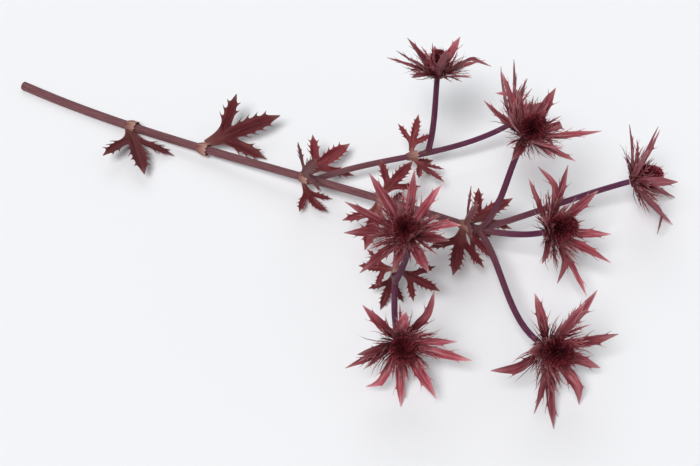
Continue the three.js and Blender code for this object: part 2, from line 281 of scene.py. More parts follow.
def press_flat(piece, depth=0.0):
    """Presses flat on the surface what lies deeper under it than this."""
    with editing(piece):
        pick(lambda co: co.z < -depth)
        bpy.ops.transform.resize(value=(1, 1, 0), center_override=(0, 0, 0))


def copy_of(piece, tone):
    """A copy with its own mesh. Its tone, from 0 to 1, shades it apart from its neighbours."""
    twin = piece.copy()
    twin.data = piece.data.copy()
    bpy.context.scene.collection.objects.link(twin)
    mark(twin, "tone", tone)
    return twin


def seat_piece(name, parts, node):
    """Joins parts into the one piece that stands for a node of the frame."""
    only(*parts)
    if len(parts) > 1:
        bpy.ops.object.join()
    bpy.ops.object.transform_apply()
    piece = bpy.context.object
    piece.name = piece.data.name = name
    bpy.ops.object.shade_smooth_by_angle(angle=SMOOTH_BELOW)
    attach(piece, "root")
    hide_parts(node)


def discard(*pieces):
    """Removes shapes that were only copied from or joined in."""
    for piece in pieces:
        bpy.data.objects.remove(piece)


# ---------------------------------------------------------------- materials


def linear(hexes):
    """An sRGB hex colour as linear red, green, blue and alpha."""
    shares = [int(hexes[i : i + 2], 16) / 255 for i in (0, 2, 4)]
    return (*(s / 12.92 if s <= 0.04045 else ((s + 0.055) / 1.055) ** 2.4 for s in shares), 1.0)


def add_node(tree, kind, inputs=(), stops=(), **settings):
    """Adds a node with its settings and links.

    An input takes a number, a colour, a socket, or a node whose first live output feeds it. Stops are the
    places and colours of a colour ramp.
    """
    node = tree.nodes.new(kind)
    for name, value in settings.items():
        setattr(node, name, value)
    for name, value in dict(inputs).items():
        if isinstance(value, bpy.types.Node):
            value = next(socket for socket in value.outputs if socket.enabled)
        if isinstance(value, bpy.types.NodeSocket):
            tree.links.new(value, node.inputs[name])
        else:
            node.inputs[name].default_value = value
    for n, (place, colour) in enumerate(stops):
        elements = node.color_ramp.elements
        if n == 0:
            elements.remove(elements[1])
            elements[0].position = place
        else:
            elements.new(place)
        elements[n].color = colour
    return node


def new_finish(name, *attributes):
    """An empty material, its node tree, and the sockets of the mesh attributes that it reads."""
    finish = bpy.data.materials.new(name)
    finish.use_nodes = True
    tree = finish.node_tree
    tree.nodes.clear()
    read = (add_node(tree, "ShaderNodeAttribute", attribute_name=one).outputs["Fac"] for one in attributes)
    return finish, tree, *read


def leathery_blade(name, colours, veins_across):
    """Dried, dyed leathery blade: a satin skin with lengthwise veins, a paler rib and pale stiff margins.

    It is darkest at the root and palest at the tip: partly dye, partly painted shade and highlight.
    Dark blotches of dye and pale patches of painted sheen lie over it. The back is paler than the face.
    """
    finish, tree, along, across, tone, under = new_finish(name, "along", "across", "tone", "under")
    aside = add_node(tree, "ShaderNodeMath", {0: across}, operation="ABSOLUTE")
    # Veins and patches of dye are noise on the blade's own plan, which is 1 wide from rib to margin and 1
    # long. It is drawn out along the blade, and a copy's tone shifts it.
    plan = add_node(tree, "ShaderNodeCombineXYZ", {"X": across, "Y": along, "Z": tone})
    # Veins about 0.5 mm wide and 16 mm long, where seven lie between a large bract's rib and margin.
    vein_scale = (veins_across, 2.6, 57)
    drawn_out = add_node(tree, "ShaderNodeVectorMath", {0: plan, 1: vein_scale}, operation="MULTIPLY")
    vein_noise = {"Vector": drawn_out, "Scale": 1, "Detail": 4, "Roughness": 0.62}
    veins = add_node(tree, "ShaderNodeTexNoise", vein_noise)
    # Patches about 2 mm wide and 15 mm long on a large bract.
    spread_out = add_node(tree, "ShaderNodeVectorMath", {0: plan, 1: (1.7, 3, 31)}, operation="MULTIPLY")
    patches = add_node(tree, "ShaderNodeTexNoise", {"Vector": spread_out, "Scale": 1, "Detail": 2})

    # Each tint comes in where its pattern goes from low to high, and covers at most so much.
    colour = add_node(tree, "ShaderNodeValToRGB", {"Fac": along}, stops=colours["along"])
    for pattern, low, high, most, tint in (
        (veins, 0.42, 0.68, 0.4, "vein"),
        (patches, 0.47, 0.68, 0.55, "blotch"),
        # Pale patches of painted sheen, where the dye's blotches thin out.
        (patches, 0.47, 0.3, 0.55, "painted_sheen"),
        (under, 0.0, 1.0, 0.55, "back"),
        (aside, 0.1, 0.02, 0.16, "margin"),
        (aside, 0.9, 1.4, 0.6, "margin"),
    ):
        reach = {"Value": pattern, "From Min": low, "From Max": high, "To Max": most}
        share = add_node(tree, "ShaderNodeMapRange", reach)
        colour = add_node(tree, "ShaderNodeMix", {0: share, 6: colour, 7: colours[tint]}, data_type="RGBA")
    shade = add_node(tree, "ShaderNodeMapRange", {"Value": tone, "To Min": 0.66, "To Max": 1.46})
    shaded = add_node(tree, "ShaderNodeVectorMath", {0: colour, "Scale": shade}, operation="SCALE")
    waxiness = {"Value": veins, "From Min": 0.3, "From Max": 0.7, "To Min": 0.34, "To Max": 0.54}
    relief = {"Height": veins, "Strength": 0.5, "Distance": 0.4 * MM}
    skin = add_node(
        tree,
        "ShaderNodeBsdfPrincipled",
        {
            "Base Color": shaded,
            "Roughness": add_node(tree, "ShaderNodeMapRange", waxiness),
            "Normal": add_node(tree, "ShaderNodeBump", relief),
            "IOR": 1.47,
            "Specular IOR Level": 0.24,
            "Specular Tint": linear("e6a8ac"),
            "Sheen Weight": 0.03,
            "Sheen Roughness": 0.4,
            "Sheen Tint": linear("d9a5a8"),
        },
    )
    add_node(tree, "ShaderNodeOutputMaterial", {"Surface": skin})
    return finish


def fibrous_skin(name, stops, pale, dark, roughness):
    """Ribbed, fibrous skin of a dried stalk, dyed: dull, with pale and dark streaks that run along it."""
    finish, tree, along, tone, side, over, run, pith = new_finish(
        name, "along", "tone", "side", "over", "run", "pith"
    )
    # Streaks about 1 mm wide on a stalk 3 mm in radius, and 15 mm long.
    around = add_node(tree, "ShaderNodeCombineXYZ", {"X": side, "Y": over, "Z": run})
    drawn_out = add_node(tree, "ShaderNodeVectorMath", {0: around, 1: (3.4, 3.4, 1)}, operation="MULTIPLY")
    streak_noise = {"Vector": drawn_out, "Scale": 1, "Detail": 4, "Roughness": 0.65}
    streaks = add_node(tree, "ShaderNodeTexNoise", streak_noise)
    ageing = add_node(tree, "ShaderNodeMath", {0: streaks, 1: 0.5, 2: -0.25}, operation="MULTIPLY_ADD")
    age = add_node(tree, "ShaderNodeMath", {0: along, 1: ageing}, operation="ADD")
    colour = add_node(tree, "ShaderNodeValToRGB", {"Fac": age}, stops=stops)
    for pattern, low, high, most, tint in (
        (streaks, 0.54, 0.72, 0.6, pale),
        (streaks, 0.46, 0.3, 0.6, dark),
        (pith, 0, 1, 0.85, linear("c4a288")),
    ):
        reach = {"Value": pattern, "From Min": low, "From Max": high, "To Max": most}
        share = add_node(tree, "ShaderNodeMapRange", reach)
        colour = add_node(tree, "ShaderNodeMix", {0: share, 6: colour, 7: tint}, data_type="RGBA")
    shade = add_node(tree, "ShaderNodeMapRange", {"Value": tone, "To Min": 0.8, "To Max": 1.2})
    shaded = add_node(tree, "ShaderNodeVectorMath", {0: colour, "Scale": shade}, operation="SCALE")
    relief = {"Height": streaks, "Strength": 0.7, "Distance": 0.25 * MM}
    skin = add_node(
        tree,
        "ShaderNodeBsdfPrincipled",
        {
            "Base Color": shaded,
            "Normal": add_node(tree, "ShaderNodeBump", relief),
            "Roughness": roughness,
            "Specular IOR Level": 0.26,
        },
    )
    add_node(tree, "ShaderNodeOutputMaterial", {"Surface": skin})
    return finish


def packed_florets():
    """Packed dry florets, dyed almost black-red, with pale specks painted on their sharp sepal tips as
    highlights.
    """
    finish, tree, along, tone = new_finish("dyed_packed_florets", "along", "tone")
    stops = [
        (0.0, linear("140408")),
        (0.4, linear("320b14")),
        (0.75, linear("5e1923")),
        (0.92, linear("9a4a51")),
        (1.0, linear("deb6b2")),
    ]
    colour = add_node(tree, "ShaderNodeValToRGB", {"Fac": along}, stops=stops)
    shade = add_node(tree, "ShaderNodeMapRange", {"Value": tone, "To Min": 0.5, "To Max": 1.9})
    # Grain 0.5 mm across.
    object_place = add_node(tree, "ShaderNodeTexCoord").outputs["Object"]
    grain_noise = {"Vector": object_place, "Scale": 1 / (0.5 * MM), "Detail": 2}
    grain = add_node(tree, "ShaderNodeTexNoise", grain_noise)
    shaded = add_node(tree, "ShaderNodeVectorMath", {0: colour, "Scale": shade}, operation="SCALE")
    relief = {"Height": grain, "Strength": 0.5, "Distance": 0.1 * MM}
    skin = add_node(
        tree,
        "ShaderNodeBsdfPrincipled",
        {
            "Base Color": shaded,
            "Normal": add_node(tree, "ShaderNodeBump", relief),
            "Roughness": 0.5,
            "Specular IOR Level": 0.25,
            "Specular Tint": linear("e0a8ac"),
        },
    )
    add_node(tree, "ShaderNodeOutputMaterial", {"Surface": skin})
    return finish


# ---------------------------------------------------------------- growing a blade

# Across half a blade, from its rib to its margin: how far out each column lies, and how far it rises.
HALF_SECTION = ((0.0, 0.0), (0.12, 0.1), (0.48, 0.34), (0.8, 0.68), (1.0, 1.0))
WHOLE_SECTION = [(-across, rise) for across, rise in reversed(HALF_SECTION[1:])] + list(HALF_SECTION)

# A row of a flat blade: its place, its way on and its half width.
Row = namedtuple("Row", "centre heading width")
# A spine: the margin and the row that it leaves, its length and how far it leans forwards.
Spine = namedtuple("Spine", "hand row size lean")


def width_at(t):
    """How wide a lobe is along its length, as a share of its greatest half width.

    It widens from a narrow root, tapers from its middle on, and ends in a drawn-out tip.
    """
    return (1 - t) ** 0.9 * (0.36 + 2.8 * t) * (1 - 0.62 * t**8)


def pattern_width(t):
    """The width that a blade's pattern spreads over, which never quite closes."""
    return max(width_at(min(max(t, 0), 0.97)), 0.08)


def on_plan(across, along, rise=0.0):
    """A place on a blade's plan in metres: X across it, Z along it and Y out of its face."""
    return Vector((across, rise, along)) * MM


def lobe_rows(root, spread, length, half_width, places):
    """The rows of a straight lobe that leaves its root at an angle to the blade's own length."""
    heading = Vector((math.sin(spread), math.cos(spread)))
    return [Row(root + heading * t * length, spread, width_at(t) * half_width) for t in places]


def start_strip(row, on, columns, fold):
    """Adds a blade's first strip, between its two lowest rows, and folds it along its rib."""
    steps = len(columns) - 1
    piece = new_shape(
        bpy.ops.mesh.primitive_grid_add,
        x_subdivisions=steps, y_subdivisions=1, size=2, rotation=(-math.pi / 2, 0, 0),
    )
    with editing(piece):
        # The grid is 2 wide and 2 high, and its even columns move to their places.
        for n, (across, rise) in enumerate(columns):
            even = 2 * n / steps - 1
            pick(level("x", even, 0.001))
            bpy.ops.transform.translate(value=(across - even, rise, 0))
        for end, place in ((-1, row), (1, on)):
            pick(level("z", end, 0.001))
            size, height = place.width * MM, place.centre.y * MM
            bpy.ops.transform.translate(value=(0, 0, height - end))
            bpy.ops.transform.resize(value=(size, size * fold, 1), center_override=(0, 0, height))
    return piece


def grow_rows(rows):
    """In edit mode, extrudes the selected row on through the rows that follow it."""
    for row, on in zip(rows, rows[1:]):
        step, centre = on.centre - row.centre, on_plan(*on.centre)
        bpy.ops.mesh.extrude_region_move(TRANSFORM_OT_translate={"value": on_plan(*step)})
        if on.heading != row.heading:
            turn = row.heading - on.heading
            bpy.ops.transform.rotate(value=turn, orient_axis="Y", center_override=centre)
        if on.width > 0:
            bpy.ops.transform.resize(value=(on.width / row.width,) * 3, center_override=centre)
        else:
            bpy.ops.mesh.merge(type="CENTER")


def margin_place(row, hand, fold):
    """Where a row meets the blade's margin on one hand."""
    side = Vector((math.cos(row.heading), -math.sin(row.heading)))
    return on_plan(*(row.centre + side * hand * row.width), row.width * fold)


def grow_spine(row, on, hand, fold, length, lean):
    """In edit mode, draws the margin between two rows out into a spine that hooks forwards.

    It narrows halfway along, and turns from there to its point.
    """
    low, high = margin_place(row, hand, fold), margin_place(on, hand, fold)
    pick(near(low, high))
    out = on_plan(math.cos(row.heading), -math.sin(row.heading)) * hand
    ahead = on_plan(math.sin(row.heading), math.cos(row.heading))
    # Spines stand a little out of the blade, some to its face and some to its back.
    rise = on_plan(0, 0, vary(-0.35, 0.65, round(917 * row.centre.y) + hand))
    first = (out * 0.5 + ahead * 0.5 * lean + rise * 0.2) * length
    bpy.ops.mesh.extrude_edges_move(TRANSFORM_OT_translate={"value": first})
    bpy.ops.transform.resize(value=(0.3,) * 3, center_override=(low + high) / 2 + first)
    last = (out * 0.3 + ahead * 0.6 * lean + rise * 0.5) * length
    bpy.ops.mesh.extrude_edges_move(TRANSFORM_OT_translate={"value": last})
    bpy.ops.mesh.merge(type="CENTER")


def thicken(piece, thickness, rib, smooth=0):
    """Gives a flat blade its thickness and the rib on its back, then rounds it."""
    face_count = len(piece.data.vertices)
    finish_with(piece, "SOLIDIFY", thickness=thickness, offset=-1.0, use_even_offset=False)
    mark(piece, "under", [float(n >= face_count) for n in range(len(piece.data.vertices))])
    along, across = (piece.data.attributes[name].data for name in ("along", "across"))
    # The rib runs down the middle of the back, and ends before the tip.
    rib_line = [
        vertex.co.copy()
        for vertex in piece.data.vertices[face_count:]
        if abs(across[vertex.index].value) < 0.05 and along[vertex.index].value < 0.9
    ]
    with editing(piece):
        pick(near(*rib_line))
        bpy.ops.transform.translate(value=(0, -rib, 0))
    if smooth:
        finish_with(piece, "SUBSURF", levels=smooth, render_levels=smooth)


def grow_bract(length, half_width, fold, columns, places, spines):
    """A flat bract: its rows grown one from another, then the spines of both margins."""
    rows = lobe_rows(Vector((0, 0)), 0, length, half_width, places)
    piece = start_strip(rows[0], rows[1], columns, fold)
    with editing(piece):
        pick(level("z", rows[1].centre.y * MM))
        grow_rows(rows[1:])
        for spine in spines:
            grow_spine(rows[spine.row], rows[spine.row + 1], spine.hand, fold, spine.size, spine.lean)
    along = [vertex.co.z / (length * MM) for vertex in piece.data.vertices]
    half_widths = [pattern_width(t) * half_width * MM for t in along]
    mark(piece, "along", along)
    mark(piece, "across", [vertex.co.x / half for vertex, half in zip(piece.data.vertices, half_widths)])
    return piece


# ---------------------------------------------------------------- laying a blade

BEND_STEP, MOST_BEND = math.radians(0.5), math.radians(120)
STRAIGHT = 1e-4  # a bend in radians, below which a blade counts as straight


def lowest(points, place, bend, length):
    """How high the lowest of a blade's points is once the blade is bent and laid, in millimetres.

    The blade's length turns into an arc, as it does under Blender's own bend.
    """
    root, side, face, along = place
    bend = bend or STRAIGHT
    turn, reach = bend * points[:, 2] / length, length / bend
    ahead = (reach - points[:, 1]) * np.sin(turn)
    lift = reach - (reach - points[:, 1]) * np.cos(turn)
    return (root.z + ahead * along.z + lift * face.z + points[:, 0] * side.z).min()


def lay_blade(shape, place, scale, length, bend, twist, tone):
    """Lays a copy of a blade where it grows, bent up until it only touches the surface."""
    blade = copy_of(shape, tone)
    blade.scale = scale
    only(blade)
    bpy.ops.object.transform_apply(location=False, rotation=False)
    finish_with(blade, "SIMPLE_DEFORM", deform_method="TWIST", deform_axis="Z", angle=twist)
    points = np.array([vertex.co for vertex in blade.data.vertices]) / MM
    tall = np.ptp(points[:, 2])
    while lowest(points, place, bend, length) < -CONTACT and bend < MOST_BEND:
        bend += BEND_STEP
    if abs(bend) > STRAIGHT:
        angle = bend * tall / length
        finish_with(blade, "SIMPLE_DEFORM", deform_method="BEND", deform_axis="X", angle=angle)
    blade.matrix_world = facing(*place)
    return blade


# ---------------------------------------------------------------- settings


class StalkSettings(bpy.types.PropertyGroup):
    """The stem, its side branches and the peduncles under the heads."""

    rib_count: IntProperty(name="Ribs", description="Ribs round a stalk", default=12, min=3, max=24)
    rib_height: FloatProperty(
        name="Rib height", description="Height of a rib, as a share of the stalk's radius",
        default=0.06, min=0, max=0.3, subtype="FACTOR",
    )
    old_colour: FloatVectorProperty(
        name="Stem", description="Brownish pink of the lower stem",
        default=linear("6e4448"), size=4, min=0, max=1, subtype="COLOR",
    )
    young_colour: FloatVectorProperty(
        name="Peduncle", description="Violet of the peduncles under the heads",
        default=linear("521740"), size=4, min=0, max=1, subtype="COLOR",
    )


class LeafSettings(bpy.types.PropertyGroup):
    """The lobed leaves at the joints, and the sheaths that hold them."""

    half_width: FloatProperty(
        name="Half width", description="Half width of a leaf's middle lobe",
        default=0.0041, min=0.001, max=0.02, unit="LENGTH", precision=4,
    )
    spine_length: FloatProperty(
        name="Spine length", description="Length of a spine on a leaf's margin",
        default=0.0038, min=0.0005, max=0.01, unit="LENGTH", precision=4,
    )
    thickness: FloatProperty(
        name="Thickness", description="Thickness of a leaf between its ribs",
        default=0.00045, min=0.0001, max=0.002, unit="LENGTH", precision=5,
    )
    colour: FloatVectorProperty(
        name="Leaf", description="Brownish red of the leaves",
        default=linear("5e1d24"), size=4, min=0, max=1, subtype="COLOR",
    )


class RuffSettings(bpy.types.PropertyGroup):
    """The ruff of spiny bracts under each cone."""

    bract_length: FloatProperty(
        name="Bract length", description="Length of a large bract",
        default=0.043, min=0.01, max=0.1, unit="LENGTH", precision=4,
    )
    bract_half_width: FloatProperty(
        name="Bract half width", description="Greatest half width of a large bract, without its spines",
        default=0.0036, min=0.001, max=0.02, unit="LENGTH", precision=4,
    )
    fold: FloatProperty(
        name="Fold", description="How far the margins of a bract rise above its rib",
        default=0.0015, min=0, max=0.005, unit="LENGTH", precision=4,
    )
    thickness: FloatProperty(
        name="Thickness", description="Thickness of a bract between its ribs",
        default=0.0004, min=0.0001, max=0.002, unit="LENGTH", precision=5,
    )
    spine_length: FloatProperty(
        name="Spine length", description="Length of a spine on a bract's margin",
        default=0.0054, min=0.0005, max=0.01, unit="LENGTH", precision=4,
    )
    bracts: IntProperty(name="Bracts", description="Large bracts of a ruff", default=10, min=3, max=20)
    narrow_bracts: IntProperty(
        name="Narrow bracts", description="Narrow, spiny bracts between the large ones",
        default=36, min=0, max=60,
    )
    needles: IntProperty(
        name="Needles", description="Fine needles between and below the bracts", default=120, min=0, max=180
    )


class ConeSettings(bpy.types.PropertyGroup):
    """The cones of packed florets."""

    florets: IntProperty(name="Florets", description="Florets on a cone", default=230, min=20, max=600)
    floret_width: FloatProperty(
        name="Floret width", description="Width of a floret at its rim",
        default=0.0021, min=0.0005, max=0.005, unit="LENGTH", precision=4,
    )
    floret_length: FloatProperty(
        name="Floret length", description="Length of a floret from its foot to the points of its rim",
        default=0.0031, min=0.0005, max=0.01, unit="LENGTH", precision=4,
    )


class StageSettings(bpy.types.PropertyGroup):
    """The floor, the lights and the camera."""

    azimuth: FloatProperty(
        name="Azimuth", description="The camera's turn round the stem; 0 looks along +Y",
        default=math.radians(28), subtype="ANGLE",
    )
    elevation: FloatProperty(
        name="Elevation", description="The camera's angle above the surface",
        default=math.radians(46), subtype="ANGLE",
    )
    lens: FloatProperty(
        name="Lens", description="Focal length in millimetres on a 36 mm sensor", default=85, min=20, max=200
    )
    floor_colour: FloatVectorProperty(
        name="Floor", description="Pale surface that the stem lies on",
        default=linear("f2f3f5"), size=4, min=0, max=1, subtype="COLOR",
    )


# ---------------------------------------------------------------- operators


class SEAHOLLY_OT_stalks(bpy.types.Operator):
    """Grows the ribbed stem, its branches and the heads' peduncles as one piece"""

    bl_idname = "sea_holly.stalks"
    bl_label = "Stalks"

    STEM_RINGS, BRANCH_RINGS = 130, 44
    STEM_AGE = 0.45  # how far the stem's skin has turned from old, 0, to young, 1, where it ends
    NODE_REACH = 4 * MM  # how far a node reaches from its fork
    NODE_SWELLING = 0.26  # how much thicker a node is, as a share of the stalk's radius
    RING_SLACK, RING_REACH = 0.3 * MM, 5 * MM  # how far a ring's points lie from its plane and its centre
    # The cut end, from its rim in: how far each ring lies inside the last one, and how far it stands out.
    CUT_RINGS = ((0.55, 0), (0.2, -0.5), (1.2, 0.3))
    RIND = 0.6  # how far in from the stalk's skin the pith begins

    def ribbed_ring(self, settings):
        """The section of a stalk one millimetre in radius."""
        ring = new_shape(bpy.ops.mesh.primitive_circle_add, vertices=3 * settings.rib_count, radius=MM)
        with editing(ring):
            ridge, groove = 1 + settings.rib_height, 1 - settings.rib_height / 2
            pick(spaced(2 * math.pi / settings.rib_count))
            bpy.ops.transform.resize(value=(ridge, ridge, 1))
            bpy.ops.mesh.select_all(action="INVERT")
            bpy.ops.transform.resize(value=(groove, groove, 1))
        bpy.ops.object.convert(target="CURVE")
        return bpy.context.object

    def sweep(self, stalk, ring, steps):
        """Sweeps the ribbed section along a stalk, and closes its ends."""
        points = [in_frame(handle) for handle in stalk.handles]
        curve = new_shape(bpy.ops.curve.primitive_bezier_curve_add).data
        spline = curve.splines[0]
        first, last = spline.bezier_points
        for point in (first, last):
            point.handle_left_type = point.handle_right_type = "FREE"
        first.co, first.handle_right, first.handle_left = points[0], points[1], 2 * points[0] - points[1]
        last.co, last.handle_left, last.handle_right = points[3], points[2], 2 * points[3] - points[2]
        first.radius, last.radius = stalk.radii
        spline.radius_interpolation = "LINEAR"
        spline.resolution_u = steps
        curve.bevel_mode = "OBJECT"
        curve.bevel_object = ring
        curve.use_fill_caps = True
        bpy.ops.object.convert(target="MESH")
        piece = bpy.context.object
        with editing(piece):
            pick()
            bpy.ops.mesh.remove_doubles(threshold=0.001 * MM)
            bpy.ops.mesh.normals_make_consistent(inside=False)
        return piece

    def swell(self, piece, stalk, steps, at):
        """Swells a stalk into a node, round a place along it."""
        line = interpolate_bezier(*(in_frame(handle) for handle in stalk.handles), steps + 1)
        node = in_frame(point_on(stalk, at))
        with editing(piece):
            for ring, centre in enumerate(line):
                far = (centre - node).length / self.NODE_REACH
                # The swelling fades out at twice the node's reach.
                if far > 2:
                    continue
                tangent = tangent_on(stalk, ring / steps)
                size = 1 + self.NODE_SWELLING * math.exp(-far * far)
                pick(lambda co: self.on_ring(co - centre, tangent))
                bpy.ops.transform.resize(value=(size, size, size), center_override=centre)

    def on_ring(self, away, tangent):
        """Whether a point so far away from a ring's centre lies on that ring."""
        return abs(away.dot(tangent)) < self.RING_SLACK and away.length < self.RING_REACH

    def mark_skin(self, piece, stalk, steps, ages):
        """Marks how old the skin is at every point, and where the point lies round and along its stalk."""
        line = interpolate_bezier(*(in_frame(handle) for handle in stalk.handles), steps + 1)
        marks = []
        for vertex in piece.data.vertices:
            ring = min(range(steps + 1), key=lambda n: (line[n] - vertex.co).length_squared)
            tangent = tangent_on(stalk, ring / steps)
            side = tangent.cross(UP).normalized()
            radial = (vertex.co - line[ring]).normalized()
            run = (line[ring] - line[0]).length / (STREAK_LENGTH * MM)
            marks.append((mix(*ages, ring / steps), radial.dot(side), radial.dot(side.cross(tangent)), run))
        for name, values in zip(("along", "side", "over", "run"), zip(*marks)):
            mark(piece, name, values)
        mark(piece, "tone", 0.5)

    def cut_end(self, piece):
        """Shapes the cut: a firm rim of rind round pith that has shrunk back a little."""
        start = in_frame(MAIN.handles[0])
        with editing(piece):
            pick(level("x", start.x, 0.5 * MM))
            for inside, out in self.CUT_RINGS:
                bpy.ops.mesh.inset(thickness=inside * MM, depth=out * MM)
        reach = (MAIN.radii[0] - self.RIND) * MM
        mark(piece, "pith", [float((vertex.co - start).length < reach) for vertex in piece.data.vertices])

    def execute(self, context):
        settings = context.scene.sea_holly_stalks
        # Dried ribbed stalk, dyed: violet where it was young, brownish pink where it had turned woody.
        stops = [
            (0.0, settings.old_colour),
            (0.4, settings.old_colour),
            (0.72, linear("5a2640")),
            (1.0, settings.young_colour),
        ]
        skin = fibrous_skin("dyed_ribbed_stalk", stops, linear("986a72"), linear("361424"), 0.5)
        ring = self.ribbed_ring(settings)
        whole = self.sweep(MAIN, ring, self.STEM_RINGS)
        ages = {name: self.STEM_AGE * t for name, t in JOINTS.items()}
        for t in JOINTS.values():
            self.swell(whole, MAIN, self.STEM_RINGS, t)
        self.mark_skin(whole, MAIN, self.STEM_RINGS, (0.0, self.STEM_AGE))
        self.cut_end(whole)
        whole.data.materials.append(skin)
        nodes = [in_frame(point_on(MAIN, t)) for t in JOINTS.values()]
        for n, (head, stalk) in enumerate(zip(HEADS, peduncles())):
            branch = self.sweep(stalk, ring, self.BRANCH_RINGS)
            for name, (fork, t) in FORKS.items():
                if fork == n:
                    ages[name] = mix(ages[head.start], 1.0, t)
                    nodes.append(in_frame(point_on(stalk, t)))
                    self.swell(branch, stalk, self.BRANCH_RINGS, t)
            self.mark_skin(branch, stalk, self.BRANCH_RINGS, (ages[head.start], 1.0))
            branch.data.materials.append(skin)
            finish_with(whole, "BOOLEAN", operation="UNION", solver="MANIFOLD", object=branch)
            discard(branch)
        discard(ring)
        with editing(whole):
            # The stalks run smoothly into each other at a node.
            pick(lambda co: any((co - node).length < self.NODE_REACH for node in nodes))
            bpy.ops.mesh.vertices_smooth(factor=0.5, repeat=6)
        press_flat(whole)
        seat_piece("stalks", [whole], "stem")
        return {"FINISHED"}


